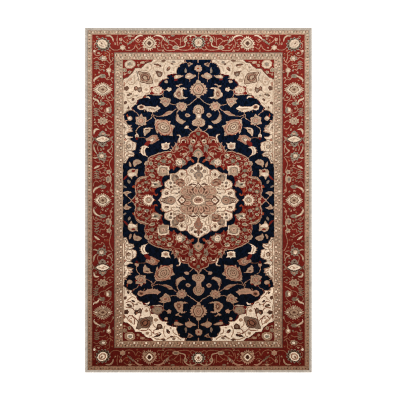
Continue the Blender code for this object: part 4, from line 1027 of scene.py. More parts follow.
def eye():
    """The eye: an ivory lozenge in a dark rim between serrated grey leaves."""
    each(teardrop, (67.6, 46.9, 6.2, 4.4, GREY, 0, 0.3, 4, 0.3),
        (67.4, 46.9, 4.0, 3.0, TAUPE, 0, 0.3, 3, 0.3))
    disc(67.2, 47.0, 1.1, 0.7, PINK)
    each(teardrop, (67.7, 39.3, 6.0, 4.2, GREY, 180, 0.3, 4, 0.3),
        (67.7, 39.5, 4.2, 2.8, TAUPE, 180, 0.3, 3, 0.3))
    disc(67.7, 39.3, 0.7, 0.5, UMBER)
    each(diamond, (67.6, 43.0, 6.4, 3.5, GREY, 7, 0.22), (67.6, 43.0, 6.1, 3.2, UMBER, 7, 0.12),
        (67.6, 43.0, 5.3, 2.5, TAUPE, 6, 0.12), (67.6, 43.0, 4.8, 2.2, IVORY, 5, 0.1))
    stroke([(64.6, 43.1), (66.4, 42.4), (68.2, 43.4), (70.4, 42.8)], 0.5, SAND)
    disc(67.4, 43.5, 1.1, 0.5, PINK)
    for sign in (-1, 1):
        each(stroke, ([(67.6 + 6.2 * sign, 43.0), (67.6 + 7.2 * sign, 44.8)], 0.6, TAUPE),
            ([(67.6 + 6.2 * sign, 43.0), (67.6 + 7.4 * sign, 41.0)], 0.6, TAUPE))
        disc(67.6 + 5.2 * sign, 43.6, 0.5, 0.8, OLIVE)
    leaf([(60.8, 45.2), (62.0, 43.2), (60.6, 41.2)], 0.9, ROSE)


def end_stems():
    """The stems of the main border along an end."""
    for line in ([(0.6, 106.8), (2.2, 107.0), (4.0, 106.0), (5.6, 106.6)],
            [(4.8, 108.4), (6.2, 106.6), (8.4, 105.8), (12.0, 106.0), (15.0, 106.6)],
            [(16.8, 105.8), (19.4, 105.6), (22.4, 105.8), (24.0, 107.2), (25.0, 109.4)],
            [(12.8, 114.4), (12.6, 112.0), (12.9, 109.4)],
            [(13.4, 113.4), (15.2, 114.2), (17.2, 112.8), (18.6, 111.8)],
            [(14.8, 109.6), (16.2, 111.2), (18.4, 112.6), (20.4, 112.8)],
            [(10.4, 115.6), (11.4, 114.2), (11.6, 112.0)],
            [(18.6, 109.2), (20.4, 110.0), (22.2, 109.2), (23.8, 110.2)],
            [(25.4, 113.2), (26.2, 110.6), (25.6, 107.8)], [(27.2, 112.8), (29.0, 113.6), (30.4, 113.0)],
            [(26.2, 106.0), (28.2, 105.8), (29.0, 107.2)],
            [(40.4, 107.8), (42.2, 106.6), (43.2, 107.6), (44.2, 109.6)],
            [(44.6, 108.8), (45.8, 106.8), (48.4, 105.6), (51.2, 106.0), (52.0, 107.4)],
            [(40.6, 112.6), (42.2, 111.4), (44.2, 112.4)],
            [(49.0, 110.6), (51.4, 111.2), (53.2, 112.8), (54.4, 114.6)],
            [(57.2, 115.8), (57.4, 112.6), (56.8, 109.2)],
            [(55.6, 106.6), (57.4, 105.9), (60.2, 106.2), (62.0, 107.6)],
            [(45.0, 116.0), (47.6, 115.4), (50.4, 115.8), (52.4, 114.6)],
            [(71.8, 111.6), (73.2, 110.4), (73.6, 108.2), (72.4, 106.8)],
            [(70.6, 106.6), (72.2, 105.4), (73.0, 103.4)]):
        stroke(line, 0.6, ROSE)


def end_border(at_foot):
    """The main border along an end, drawn outwards from the middle."""
    light = PINK if at_foot else IVORY
    end_stems()
    # the middle flower
    flower(0, 111.3, (5.2, 4.3, 13, 0.26, GREY), (4.2, 3.7, 13, 0.24, UMBER), (3.4, 3.2, 12, 0.12, OLIVE),
        (2.8, 2.9, 9, 0.12, IVORY))
    stroke([(1.6, 109.6), (1.9, 111.4), (1.0, 112.8), (0, 113.2)], 0.5, SAND)
    flower(0, 111.2, (1.0, 1.3, TAN), (0.5, 0.8, ROSE))
    # the line that runs out from it
    stroke([(1.2, 115.1), (3.6, 116.3), (6.8, 116.2), (9.0, 114.8), (10.1, 112.8), (9.2, 110.6),
        (10.0, 108.7), (13.4, 107.8)], 0.8, TAN)
    each(teardrop, (8.9, 112.9, 2.4, 2.9, TAN, 30), (9.0, 112.9, 1.3, 1.7, OLIVE, 30))
    each(flower, (15.8, 107.7, (2.7, 1.6, 7, 0.18, TAN)), (15.9, 107.7, (1.5, 0.9, 6, 0.18, TAUPE)),
        (5.6, 115.6, (0.6, 0.6, light)), (18.2, 116.2, (1.4, 0.7, TAUPE)))
    for k in range(4):
        leaf([(20.6 + 1.1 * k, 110.0 + 0.8 * k), (21.2 + 1.1 * k, 111.8 + 0.8 * k),
            (20.6 + 1.1 * k, 113.4 + 0.8 * k)], 1.0, (TAUPE, TAN)[k % 2])
    leaf([(24.0, 112.6), (25.4, 115.0), (28.2, 116.2), (31.8, 115.6)], 1.2, light)
    # the pointed palmette
    for rx, ry, yarn, teeth, bite in ((5.7, 5.6, TAN, 5, 0.2), (4.8, 4.5, light, 5, 0.1),
            (3.7, 3.6, BROWN, 0, 0), (3.2, 3.1, TAN, 0, 0), (2.3, 2.5, IVORY, 0, 0),
            (1.6, 1.7, BROWN, 0, 0), (0.8, 0.8, UMBER, 0, 0)):
        diamond(34.6, 110.7, rx, ry, yarn, teeth, bite)
    for sign in (-1, 1):
        each(flower, (34.6 + 3.6 * sign, 108.3, (1.3, 0.9, TAN, -30 * sign)),
            (34.6 + 2.0 * sign, 107.4, (0.5, 0.4, OLIVE)))
    leaf([(38.6, 115.6), (41.2, 116.2), (43.8, 114.8), (45.8, 112.4)], 1.2, light)
    for k in range(4):
        leaf([(44.6 + k, 113.0 - 0.9 * k), (46.2 + k, 113.2 - 0.9 * k), (47.2 + k, 112.0 - 0.9 * k)], 1.0,
            (TAUPE, OLIVE)[k % 2])
    each(flower, (53.5, 107.7, (2.1, 1.9, 6, 0.2, TAN)), (53.6, 107.6, (1.0, 0.9, light)))
    teardrop(55.0, 113.4, 1.8, 2.8, TAN, -35)
    each(flower, (55.0, 113.3, (0.5, 0.8, ROSE)), (48.4, 116.0, (1.3, 0.7, TAN)))
    # the corner flower
    stroke([(60.1, 112.2), (60.7, 114.4), (62.6, 115.9), (65.2, 115.9)], 1.1, TAN, 0.5)
    each(flower, (67.3, 109.9, (5.6, 5.0, 13, 0.26, GREY, 18)),
        (67.4, 109.9, (4.9, 4.4, 13, 0.22, UMBER, 18)), (67.5, 110.1, (4.2, 3.7, 12, 0.16, OLIVE, 18)),
        (67.7, 110.3, (3.7, 3.1, 9, 0.1, IVORY, 28)))
    each(stroke, ([(65.2, 109.0), (66.4, 111.2), (68.2, 112.2), (70.2, 111.4)], 0.6, TAN),
        ([(66.8, 108.6), (68.6, 108.9), (69.9, 110.0)], 0.6, SAND))
    if at_foot:
        flower(67.7, 110.3, (2.9, 2.4, 9, 0.1, PINK, 28), (1.8, 1.5, 7, 0.1, IVORY, 28))
    each(flower, (68.2, 110.6, (1.2, 0.7, TAN, 50)), (68.3, 110.6, (0.6, 0.4, BROWN, 50)))


def dot(along, across, run, rise, yarn, on_side):
    """One spot of a guard: run along the band, rise across it."""
    if on_side:
        disc(across, along, rise, run, yarn)
    else:
        disc(along, across, run, rise, yarn)


def guards(at_foot):
    """The spots of the guards; a spot is its place along and across, its run and rise, and its yarns."""
    light = PINK if at_foot else IVORY
    inner_spots = (
        (0, 3.75, 0.8, 0.85, (TAN, PINK, TAN, light, TAN)), (-0.1, 3.8, 0.36, 0.36, (IVORY, TAUPE, TAN)),
        (1.05, 3.7, 0.36, 0.6, (BROWN, OLIVE, TAUPE)), (1.05, 1.4, 0.7, 0.7, (TAN, IVORY, PINK, TAN)),
        (1.15, 1.4, 0.3, 0.3, (ROSE, TAN, IVORY)), (0, 1.5, 0.34, 0.42, (TAUPE, BROWN)),
        (0.5, 2.6, 0.5, 0.22, (ROSE, TAN, TAUPE)), (1.6, 2.5, 0.4, 0.2, (IVORY, TAUPE)),
        (0.3, 0.5, 0.4, 0.25, (TAN, ROSE, TAN)), (1.4, 5.1, 0.6, 0.25, (TAN, TAUPE, ROSE)))
    outer_spots = (
        (0, 1.95, 0.4, 0.55, (BROWN, TAUPE, OLIVE)), (1.05, 1.85, 0.62, 0.7, (TAN, PINK, TAN, light)),
        (1.05, 1.85, 0.26, 0.3, (TAN, SAND, TAUPE)), (0.4, 0.7, 0.5, 0.28, (TAUPE, PINK, TAN)),
        (1.5, 2.8, 0.5, 0.22, (ROSE, TAN)))
    # the sides, then the ends, where the inner guard is narrower
    for on_side, first, end, spots, shrink in (
            (True, FIELD_SIDE[0], FIELD_SIDE[1], inner_spots, 1.0),
            (True, GUARD_SIDE[0], GUARD_SIDE[1], outer_spots, 1.0),
            (False, FIELD_SIDE[1], BORDER_SIDE[0], inner_spots, END_GUARD_SHRINK),
            (False, GUARD_SIDE[1], PILE_HALF_X * 100, outer_spots, 1.0)):
        for k in range(int(end / GUARD_PITCH) + 2):
            for ahead, across, run, rise, yarns in spots:
                yarn = yarns[k % len(yarns)]
                dot(GUARD_PITCH * k + ahead, first + across * shrink, run, rise, yarn, on_side)


def borders(at_foot):
    """The grounds of the three bands, their patterns, and the lines between them."""
    x, y = column[None, :], row[:, None]
    paper[(x > FIELD_SIDE[0]) | (y > FIELD_SIDE[1])] = BEIGE
    guards(at_foot)
    red = ((x > BORDER_SIDE[0]) | (y > BORDER_SIDE[1])) & (x < GUARD_SIDE[0]) & (y < GUARD_SIDE[1])
    paper[red] = RED
    keep = paper.copy()
    side_border(at_foot)
    spacing[:] = HEAD_SPACING
    end_border(at_foot)
    # nothing of the main border runs over the guards
    paper[~red] = keep[~red]
    for side, shift, yarn in ((BORDER_SIDE, -0.25, TAUPE), (GUARD_SIDE, 0.15, ROSE)):
        half_x, half_y = side[0] + shift, side[1] + shift
        stroke([(half_x, -1), (half_x, half_y), (-1, half_y)], 0.5, yarn, curved=False)


def edging():
    """The rose outline that the flowers have on the navy, here and there."""
    random = np.random.default_rng(5)
    light = np.isin(paper, (TAN, SAND, PINK, IVORY))
    navy = paper == NAVY
    beside = np.zeros(paper.shape, bool)
    for axis, step in ((0, 1), (0, -1), (1, 1), (1, -1)):
        beside |= np.roll(navy, step, axis)
    x, y = column[None, :], row[:, None]
    chance = random.random(paper.shape)
    edge = light & beside & (x < FIELD_SIDE[0] - 0.3) & (y < FIELD_SIDE[1] - 0.1)
    paper[edge & (chance < 0.5)] = ROSE
    paper[edge & (chance > 0.75)] = BROWN
    # part of the navy comes from a darker lot, in small patches
    lots = random.random((KNOTS_Y // LOT_ROWS + 1, KNOTS_X // LOT_COLUMNS + 1))
    darker = np.kron(lots, np.ones((LOT_ROWS, LOT_COLUMNS)))[:KNOTS_Y, :KNOTS_X] < LOT_SHARE
    paper[navy & darker] = INK


def fillers():
    """Small scrolls wherever a patch of red or ivory ground is still empty."""
    random = np.random.default_rng(11)
    for ground, yarns, buds, pitch, clear, sizes in (
            (RED, (ROSE, ROSE, RUST), (TAN, OLIVE, ROSE), 2.0, 0.9, (0.5, 0.8)),
            (IVORY, (TAN, SAND, TAN), (SAND, TAN, BROWN), 2.6, 1.2, (0.5, 0.7))):
        for y in np.arange(0, FILL_Y, pitch):
            for x in np.arange(0, FILL_X, pitch):
                u, v = (x, y) + random.uniform(-0.5, 0.5, 2) * pitch
                turn, size = random.uniform(0, 360), random.uniform(*sizes) * random.choice((-1, 1))
                patch = paper[window(u - clear, u + clear, v - clear, v + clear)[0]]
                pick = random.integers(3)
                if patch.size and (patch == ground).all():
                    if ground == RED:
                        disc(u + 0.3, v - 0.4, 0.7, 0.5, WINE, turn)
                    sprig(u, v, turn, yarns[pick], buds[pick], size)


def draw_quarter(at_foot):
    """The quarter's whole pattern; the foot's side borders are woven at their own spacing."""
    spacing[:] = HEAD_SPACING
    half_x, half_y = FIELD_SIDE
    fill([(-1, -1), (half_x, -1), (half_x, half_y), (-1, half_y)], NAVY)
    ground_lines()
    axis_flowers(at_foot)
    inner_field_flowers(at_foot)
    outer_field_flowers(at_foot)
    side_flowers()
    medallion_ground()
    inner_ring()
    medallion_centre(at_foot)
    centre_rosette()
    spandrel(at_foot)
    corner_triangle(at_foot)
    side_ornament(at_foot)
    spacing[:] = FOOT_SPACING if at_foot else HEAD_SPACING
    borders(at_foot)
    spacing[:] = HEAD_SPACING
    edging()
    fillers()


# The woven rug: the whole pattern, and the zone of each knot

def inside(outline):
    """The knots of the quarter inside a closed outline."""
    kept = paper.copy()
    paper[:] = 0
    fill(outline, 1)
    mask = paper == 1
    paper[:] = kept
    return mask


def zones():
    """The zone of each knot of the quarter, and whether a band's knot is at the end or the side."""
    x, y = column[None, :], row[:, None]
    zone = np.full(paper.shape, ZONES.index("field_ground"))
    for name, outline in (
            ("medallion_ground", closed(MEDALLION)),
            ("medallion_inner_ring", closed(INNER_RING)),
            ("medallion_centre", closed(CENTRE)),
            ("centre_rosette", closed(ROSETTE)),
            ("side_ornament", closed_outside(scallops(SIDE_ORNAMENT, ORNAMENT_MIDDLE))),
            ("corner_spandrel", closed_outside(scallops(SPANDREL))),
            ("corner_triangle", closed_outside(scallops(CORNER)))):
        zone[inside(outline)] = ZONES.index(name)
    at_end = np.zeros(paper.shape, bool)
    sides = [FIELD_SIDE, BORDER_SIDE, GUARD_SIDE, (PILE_HALF_X * 100, PILE_HALF_Y * 100)]
    for name, inner, outer in zip(("inner_guard", "main_border", "outer_guard"), sides, sides[1:]):
        beyond = (x > inner[0]) | (y > inner[1])
        zone[beyond] = ZONES.index(name)
        mitre = (y - inner[1]) / (outer[1] - inner[1]) > (x - inner[0]) / (outer[0] - inner[0])
        at_end[beyond] = mitre[beyond]
    return zone, at_end


def whole(head, foot=None):
    """A quarter's paper turned over into the whole rug, from its foot up and left to right."""
    foot = head if foot is None else foot
    right = np.vstack([foot[::-1], head])
    return np.hstack([right[:, ::-1], right])


def stretched(lines, count):
    """Each line of coarse values, read off at count knots."""
    places = np.arange(count) / WANDER_KNOTS
    return np.array([np.interp(places, np.arange(len(line)), line) for line in lines])


def wandering(yarn):
    """The pattern as hands tie it: nothing is quite where the point paper has it."""
    rows, cols = yarn.shape
    moves = []
    for knot in (KNOT_LENGTH, KNOT_WIDTH):
        coarse = rng.uniform(-WANDER, WANDER, (rows // WANDER_KNOTS + 2, cols // WANDER_KNOTS + 2)) / knot
        lines = stretched(coarse, cols)
        moves.append(stretched(lines.T, rows).T)
    up, along = np.arange(rows)[:, None], np.arange(cols)[None, :]
    # the bands are straighter than the field
    field = (np.abs(up - KNOTS_Y) < FIELD_SIDE[1] * 0.01 / KNOT_LENGTH) & (
        np.abs(along - KNOTS_X) < FIELD_SIDE[0] * 0.01 / KNOT_WIDTH)
    calm = np.where(field, 1.0, BAND_WANDER)
    up = np.clip(np.rint(up + moves[0] * calm), 0, rows - 1).astype(int)
    along = np.clip(np.rint(along + moves[1] * calm), 0, cols - 1).astype(int)
    return yarn[up, along]


def new_piece(name, vertices, faces, smooth_faces, attributes=(), uv=None):
    """A mesh piece. An attribute is (name, domain, values), and uv has a row to each corner of a face."""
    mesh = bpy.data.meshes.new(name)
    sizes = np.concatenate([np.full(len(part), part.shape[1]) for part in faces])
    loops = np.concatenate([part.ravel() for part in faces])
    mesh.vertices.add(len(vertices))
    mesh.vertices.foreach_set("co", np.asarray(vertices, np.float32).ravel())
    mesh.loops.add(len(loops))
    mesh.loops.foreach_set("vertex_index", loops.astype(np.int32))
    mesh.polygons.add(len(sizes))
    mesh.polygons.foreach_set("loop_start", np.concatenate([[0], np.cumsum(sizes)[:-1]]).astype(np.int32))
    mesh.polygons.foreach_set("use_smooth", smooth_faces)
    for label, domain, values in attributes:
        attribute = mesh.attributes.new(label, "FLOAT", domain)
        attribute.data.foreach_set("value", np.asarray(values, np.float32))
    if uv is not None:
        mesh.uv_layers.new(name="OFBake").data.foreach_set("uv", np.asarray(uv, np.float32).ravel())
    mesh.update(calc_edges=True)
    mesh.validate()
    piece = bpy.data.objects.new(name, mesh)
    bpy.context.scene.collection.objects.link(piece)
    return piece


def loops_of(edges):
    """Closed runs of vertices from directed boundary edges (n, 2)."""
    following = {}
    for a, b in edges.tolist():
        following.setdefault(a, []).append(b)
    runs = []
    while following:
        start = next(iter(following))
        run = [start]
        here = following[start].pop()
        if not following[start]:
            del following[start]
        while here != start:
            run.append(here)
            there = following[here].pop()
            if not following[here]:
                del following[here]
            here = there
        runs.append(run)
    return runs


def pile_piece(name, mask, yarn, top, inward):
    """The pile of one zone: a top surface knot by knot, walls down to the canvas and a flat underside."""
    rows, cols = np.nonzero(mask)
    across = mask.shape[1] + 1
    corner = rows * across + cols
    quads = np.column_stack([corner, corner + 1, corner + 1 + across, corner + across])
    used, quads = np.unique(quads, return_inverse=True)
    quads = quads.reshape(-1, 4)
    # each wall stands on an edge of the top that only one knot has
    edges = np.concatenate([quads[:, (k, (k + 1) % 4)] for k in range(4)])
    key = edges[:, 0].astype(np.int64) * len(used) + edges[:, 1]
    back = edges[:, 1].astype(np.int64) * len(used) + edges[:, 0]
    rim = edges[~np.isin(key, back)]
    rim_yarn = np.tile(yarn[mask], 4)[~np.isin(key, back)]
    rim_vertices, rim_places = np.unique(rim, return_inverse=True)
    rim_places = rim_places.reshape(-1, 2) + len(used)

    filled = np.pad(mask, 1).astype(float)
    a, b, c, d = filled[:-1, :-1], filled[:-1, 1:], filled[1:, :-1], filled[1:, 1:]
    pull = np.stack([b + d - a - c, c + d - a - b], -1) / np.maximum(a + b + c + d, 1)[..., None]
    pull = pull.reshape(-1, 2)[used]
    vertices = top[used].copy()
    vertices[:, :2] += pull * inward
    foot = vertices[rim_vertices]
    foot[:, :2] -= pull[rim_vertices] * inward * 0.8
    foot[:, 2] = PILE_BOTTOM
    walls = np.column_stack([rim[:, 1], rim[:, 0], rim_places[:, 0], rim_places[:, 1]])
    vertices = np.vstack([vertices, foot])

    runs = loops_of(rim_places)
    flat = [[Vector((vertices[i][0], vertices[i][1], 0)) for i in run] for run in runs]
    order = [i for run in runs for i in run]
    under = np.array([[order[i] for i in triangle] for triangle in tessellate_polygon(flat)])
    p, q, r = (vertices[under[:, i]][:, :2] for i in range(3))
    area = (q[:, 0] - p[:, 0]) * (r[:, 1] - p[:, 1]) - (q[:, 1] - p[:, 1]) * (r[:, 0] - p[:, 0])
    under = under[np.abs(area) > 1e-12]
    area = area[np.abs(area) > 1e-12]
    under[area > 0] = under[area > 0][:, ::-1]

    values = np.concatenate([yarn[mask], rim_yarn, np.full(len(under), NAVY)]) + 0.5
    smooth_faces = np.concatenate([np.ones(len(quads), bool), np.zeros(len(walls) + len(under), bool)])
    low, high = vertices[:, :2].min(0), vertices[:, :2].max(0)
    uv = MAP_MARGIN + (1 - 2 * MAP_MARGIN) * (vertices[:, :2] - low) / (high - low)
    # the underside has a corner of the map to itself
    corners = np.vstack([uv[quads.ravel()], uv[walls.ravel()], uv[under.ravel()] * UNDERSIDE_MAP])
    return new_piece(name, vertices, [quads, walls, under], smooth_faces,
                     [("yarn", "FACE", values / len(YARN_COLOURS))], corners)


def knot_corners(yarn):
    """Where the pile's top is at each corner between knots, with the small unevenness of cut wool."""
    rows, cols = yarn.shape
    x = np.linspace(-PILE_HALF_X, PILE_HALF_X, cols + 1)
    y = np.linspace(-PILE_HALF_Y, PILE_HALF_Y, rows + 1)
    around = np.pad(yarn, 1, mode="edge")
    a, b, c, d = around[:-1, :-1], around[:-1, 1:], around[1:, :-1], around[1:, 1:]
    parted = (a != b) | (a != c) | (a != d)
    drop = rng.uniform(0, PILE_UNEVENNESS, parted.shape) + parted * PILE_PARTING
    # the rug is brushed down a little towards its edge
    rim = np.minimum(PILE_HALF_X - np.abs(x)[None, :], PILE_HALF_Y - np.abs(y)[:, None])
    drop += PILE_EDGE_DROP * np.exp(-rim / PILE_EDGE_WIDTH)
    sway = rng.uniform(-KNOT_SWAY, KNOT_SWAY, (rows + 1, cols + 1, 2))
    sway[[0, -1], :, 1] = 0
    sway[:, [0, -1], 0] = 0
    top = np.empty((rows + 1, cols + 1, 3))
    top[..., 0] = x[None, :] + sway[..., 0]
    top[..., 1] = y[:, None] + sway[..., 1]
    top[..., 2] = PILE_TOP - drop
    return top.reshape(-1, 3)


def make_pile():
    """Every zone of the pile, each standing for its CAD node."""
    zone, at_end = zones()
    draw_quarter(at_foot=False)
    head = paper.copy()
    draw_quarter(at_foot=True)
    yarn = wandering(whole(head, paper.copy()))
    zone = whole(zone)
    at_end = whole(at_end)
    top = knot_corners(yarn)
    right = np.zeros(yarn.shape, bool)
    right[:, KNOTS_X:] = True
    head_half = np.zeros(yarn.shape, bool)
    head_half[KNOTS_Y:] = True
    pieces = []
    for number, (name, slot, parts) in enumerate(zip(ZONES, ZONE_SLOTS, ZONE_PARTS)):
        whole_zone = zone == number
        for part in parts:
            mask = whole_zone.copy()
            if parts is SIDES:
                mask &= at_end if part in ("head", "foot") else ~at_end
            if "right" in part or "left" in part:
                mask &= right if "right" in part else ~right
            if "head" in part or "foot" in part:
                mask &= head_half if "head" in part else ~head_half
            node = "_".join(filter(None, (name, part)))
            piece = pile_piece("pile_" + node, mask, yarn, top, SEAM)
            finish_piece(piece, wool(slot), slot, node)
            pieces.append(piece)
    return pieces


def finish_piece(piece, material, slot, *nodes):
    """The piece stands for these CAD nodes, in this material."""
    piece.data.materials.append(material)
    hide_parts(*nodes)
    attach(piece, "root")


# Materials

def linear(colour):
    """An sRGB colour in bytes as linear RGBA."""
    return [(c / 255 / 12.92 if c <= 10 else ((c / 255 + 0.055) / 1.055) ** 2.4) for c in colour] + [1.0]


class Tree:
    """A material's node tree, built by short calls."""

    def __init__(self, name, roughness, sheen=0.0):
        self.material = bpy.data.materials.new(name)
        self.material.use_nodes = True
        self.nodes = self.material.node_tree.nodes
        self.links = self.material.node_tree.links
        self.shader = self.nodes["Principled BSDF"]
        self.shader.inputs["Roughness"].default_value = roughness
        self.shader.inputs["Specular IOR Level"].default_value = 0.2
        self.shader.inputs["Sheen Weight"].default_value = sheen
        self.shader.inputs["Sheen Roughness"].default_value = 0.5
        self.place = self.nodes.new("ShaderNodeTexCoord").outputs["Object"]

    def put(self, kind, inputs=(), **settings):
        """A node of this kind; each input is a socket to link or a value to set."""
        node = self.nodes.new("ShaderNode" + kind)
        for key, value in settings.items():
            setattr(node, key, value)
        for socket, value in dict(inputs).items():
            if isinstance(value, bpy.types.NodeSocket):
                self.links.new(value, node.inputs[socket])
            else:
                node.inputs[socket].default_value = value
        return node

    def math(self, operation, a, b=0.0, c=0.0):
        """The result of one arithmetic operation."""
        return self.put("Math", {0: a, 1: b, 2: c}, operation=operation).outputs[0]

    def noise(self, scale, detail=2.0, stretch=(1, 1, 1), roughness=0.5):
        """Noise over the rug, stretched along its axes."""
        place = self.put("Mapping", {"Vector": self.place, "Scale": stretch}).outputs[0]
        return self.put("TexNoise", {"Vector": place, "Scale": scale, "Detail": detail,
                                     "Roughness": roughness}).outputs["Fac"]

    def span(self, value, low, high, from_low=0.0, from_high=1.0):
        """A value carried from one range to another."""
        return self.put("MapRange", {"Value": value, "From Min": from_low, "From Max": from_high,
                                     "To Min": low, "To Max": high}).outputs[0]

    def blend(self, factor, first, second):
        """A mix of two sRGB colours by the factor."""
        mix = self.put("Mix", {"Factor": factor, "A": linear(first), "B": linear(second)}, data_type="RGBA")
        return mix.outputs["Result"]

    def shade(self, colour, *factors):
        """The colour, made lighter or darker by each factor."""
        factor = factors[0]
        for other in factors[1:]:
            factor = self.math("MULTIPLY", factor, other)
        return self.put("VectorMath", {0: colour, "Scale": factor}, operation="SCALE").outputs[0]

    def bump(self, *layers):
        """Bumps laid on each other; a layer is (height, metres)."""
        normal = None
        for height, distance in layers:
            node = self.put("Bump", {"Height": height, "Distance": distance, "Strength": 1.0})
            if normal is not None:
                self.links.new(normal, node.inputs["Normal"])
            normal = node.outputs[0]
        self.links.new(normal, self.shader.inputs["Normal"])

    def colour(self, socket):
        """Colours the shader, and hands back the finished material."""
        self.links.new(socket, self.shader.inputs["Base Color"])
        return self.material


made_materials = {}


def wool(slot):
    """Cut wool pile: each knot's own yarn, uneven dyeing along the rug, a darkening towards its foot and
    left, and single tufts.
    """
    if slot in made_materials:
        return made_materials[slot]
    tree = Tree("wool_" + slot, 0.95, 0.02)
    tree.shader.inputs["Specular IOR Level"].default_value = 0.08
    tree.shader.inputs["Sheen Tint"].default_value = (1.0, 0.86, 0.74, 1.0)
    yarn = tree.put("Attribute", attribute_name="yarn", attribute_type="GEOMETRY").outputs["Fac"]
    ramp = tree.put("ValToRGB", {"Fac": yarn})
    ramp.color_ramp.interpolation = "CONSTANT"
    elements = ramp.color_ramp.elements
    elements.remove(elements[1])
    for index, colour in enumerate(YARN_COLOURS):
        element = elements[0] if index == 0 else elements.new(index / len(YARN_COLOURS))
        element.color = linear(colour)[:3] + [YARN_GRADIENT_SHARE[index]]
    # one knot to the next, a patch of the fleece to the next, and one batch of dye to the next
    to_knots = (1 / KNOT_WIDTH, 1 / KNOT_LENGTH, 1.0)
    knot = tree.put("Mapping", {"Vector": tree.place, "Scale": to_knots}).outputs[0]
    cell = tree.put("VectorMath", {0: knot}, operation="FLOOR").outputs[0]
    speck = tree.put("TexWhiteNoise", {"Vector": cell}, noise_dimensions="2D").outputs["Value"]
    knots = tree.span(speck, 0.86, 1.14)
    fleece = tree.span(tree.noise(70, 3.0), 0.78, 1.22, 0.3, 0.7)
    dye = tree.span(tree.noise(3.0, 3.0, (0.5, 4.0, 1.0)), 0.88, 1.12, 0.3, 0.7)
    # the wool is painted darker and warmer towards the foot of the rug and a little towards its left, each
    # yarn by its share; the ivory stays as it is
    lean = []
    for slope in FOOT_DARKENING_SLOPES:
        along = {0: tree.place, 1: (LEFT_DARKENING, slope, 0.0)}
        lean.append(tree.put("VectorMath", along, operation="DOT_PRODUCT").outputs["Value"])
    gradient_factor = tree.put("CombineXYZ", {k: tree.math("MULTIPLY_ADD", part, ramp.outputs["Alpha"], 1.0)
                                    for k, part in enumerate(lean)}).outputs[0]
    graded_colour = tree.put("VectorMath", {0: ramp.outputs[0], 1: gradient_factor}, operation="MULTIPLY").outputs[0]
    tufts = tree.put("TexVoronoi", {"Vector": tree.place, "Scale": 1 / KNOT_WIDTH, "Randomness": 0.7})
    tuft = tufts.outputs["Distance"]
    shadow = tree.span(tuft, 1.06, 0.80, 0.1, 0.8)
    fibres = tree.noise(1900, 2.0)
    tree.bump((tree.math("MULTIPLY", tuft, -1.0), 0.0009), (fibres, 0.0003))
    made_materials[slot] = tree.colour(tree.shade(graded_colour, knots, fleece, dye, shadow))
    return made_materials[slot]


def serging_yarn():
    """The wrapped yarn: each turn a little lighter or darker, with painted shade in the grooves between
    turns and fibres that run along it.
    """
    tree = Tree("serging_wool", 0.78, 0.3)
    turn = tree.put("Attribute", attribute_name="turn", attribute_type="GEOMETRY").outputs["Fac"]
    turns = tree.span(turn, 0.84, 1.12)
    fleece = tree.span(tree.noise(40, 3.0), 0.88, 1.1, 0.3, 0.7)
    groove_shade = tree.put("Attribute", attribute_name="groove_shade", attribute_type="GEOMETRY").outputs["Fac"]
    # painted shade: the yarn's colour is darkened in the grooves between turns
    grooves = tree.span(groove_shade, 0.62, 1.05)
    fibres = tree.noise(2200, 3.0)
    tree.bump((fibres, 0.0002))
    base = tree.blend(tree.noise(9, 2.0), (204, 191, 176), (218, 206, 192))
    return tree.colour(tree.shade(base, turns, fleece, grooves))


def weave(name, light, dark, pitch, roughness, depth):
    """A plain weave of threads at this pitch, with painted shade in the gaps between the threads."""
    tree = Tree(name, roughness, 0.15)
    wave = {"Vector": tree.place, "Scale": math.pi / pitch / 10, "Distortion": 0.6, "Detail": 1.0}
    warp = tree.put("TexWave", wave, wave_type="BANDS", bands_direction="X").outputs["Fac"]
    weft = tree.put("TexWave", wave, wave_type="BANDS", bands_direction="Y").outputs["Fac"]
    threads = tree.math("MAXIMUM", warp, weft)
    slubs = tree.noise(30, 3.0, (1.0, 12.0, 1.0))
    tree.bump((threads, depth), (tree.noise(1500, 2.0), 0.0001))
    base = tree.blend(tree.span(slubs, 0.0, 1.0, 0.3, 0.7), dark, light)
    # painted shade: darker where the threads dip, in the gaps between them
    return tree.colour(tree.shade(base, tree.span(threads, 0.7, 1.05)))


def dried_latex():
    """Cream latex, spread by a blade and dried a little unevenly."""
    tree = Tree("latex_film", 0.62)
    ripple = tree.noise(60, 4.0, (1.0, 0.25, 1.0))
    tree.bump((ripple, 0.0004))
    patches = tree.span(tree.noise(8, 3.0), 0.0, 1.0, 0.3, 0.7)
    return tree.colour(tree.blend(patches, (204, 192, 166), (218, 208, 184)))


def serging_contour():
    """The outside of the wrapped yarn in section, as (in from the edge, height), from lip to underside."""
    points = [(SERGING_WIDTH, SERGING_LIP), (0.0150, 0.0077), (0.0115, 0.0088)]
    # degrees round the cord, from its inner shoulder over the rug's edge to its bottom
    start, end = 62, 270
    for step in range(9):
        angle = math.radians(start + step * (end - start) / 8)
        points.append((CORD_FROM_EDGE * (1 + math.cos(angle)), CORD_HEIGHT * (1 + math.sin(angle))))
    return points + [(0.0110, 0.0), (SERGING_WIDTH, 0.0)]


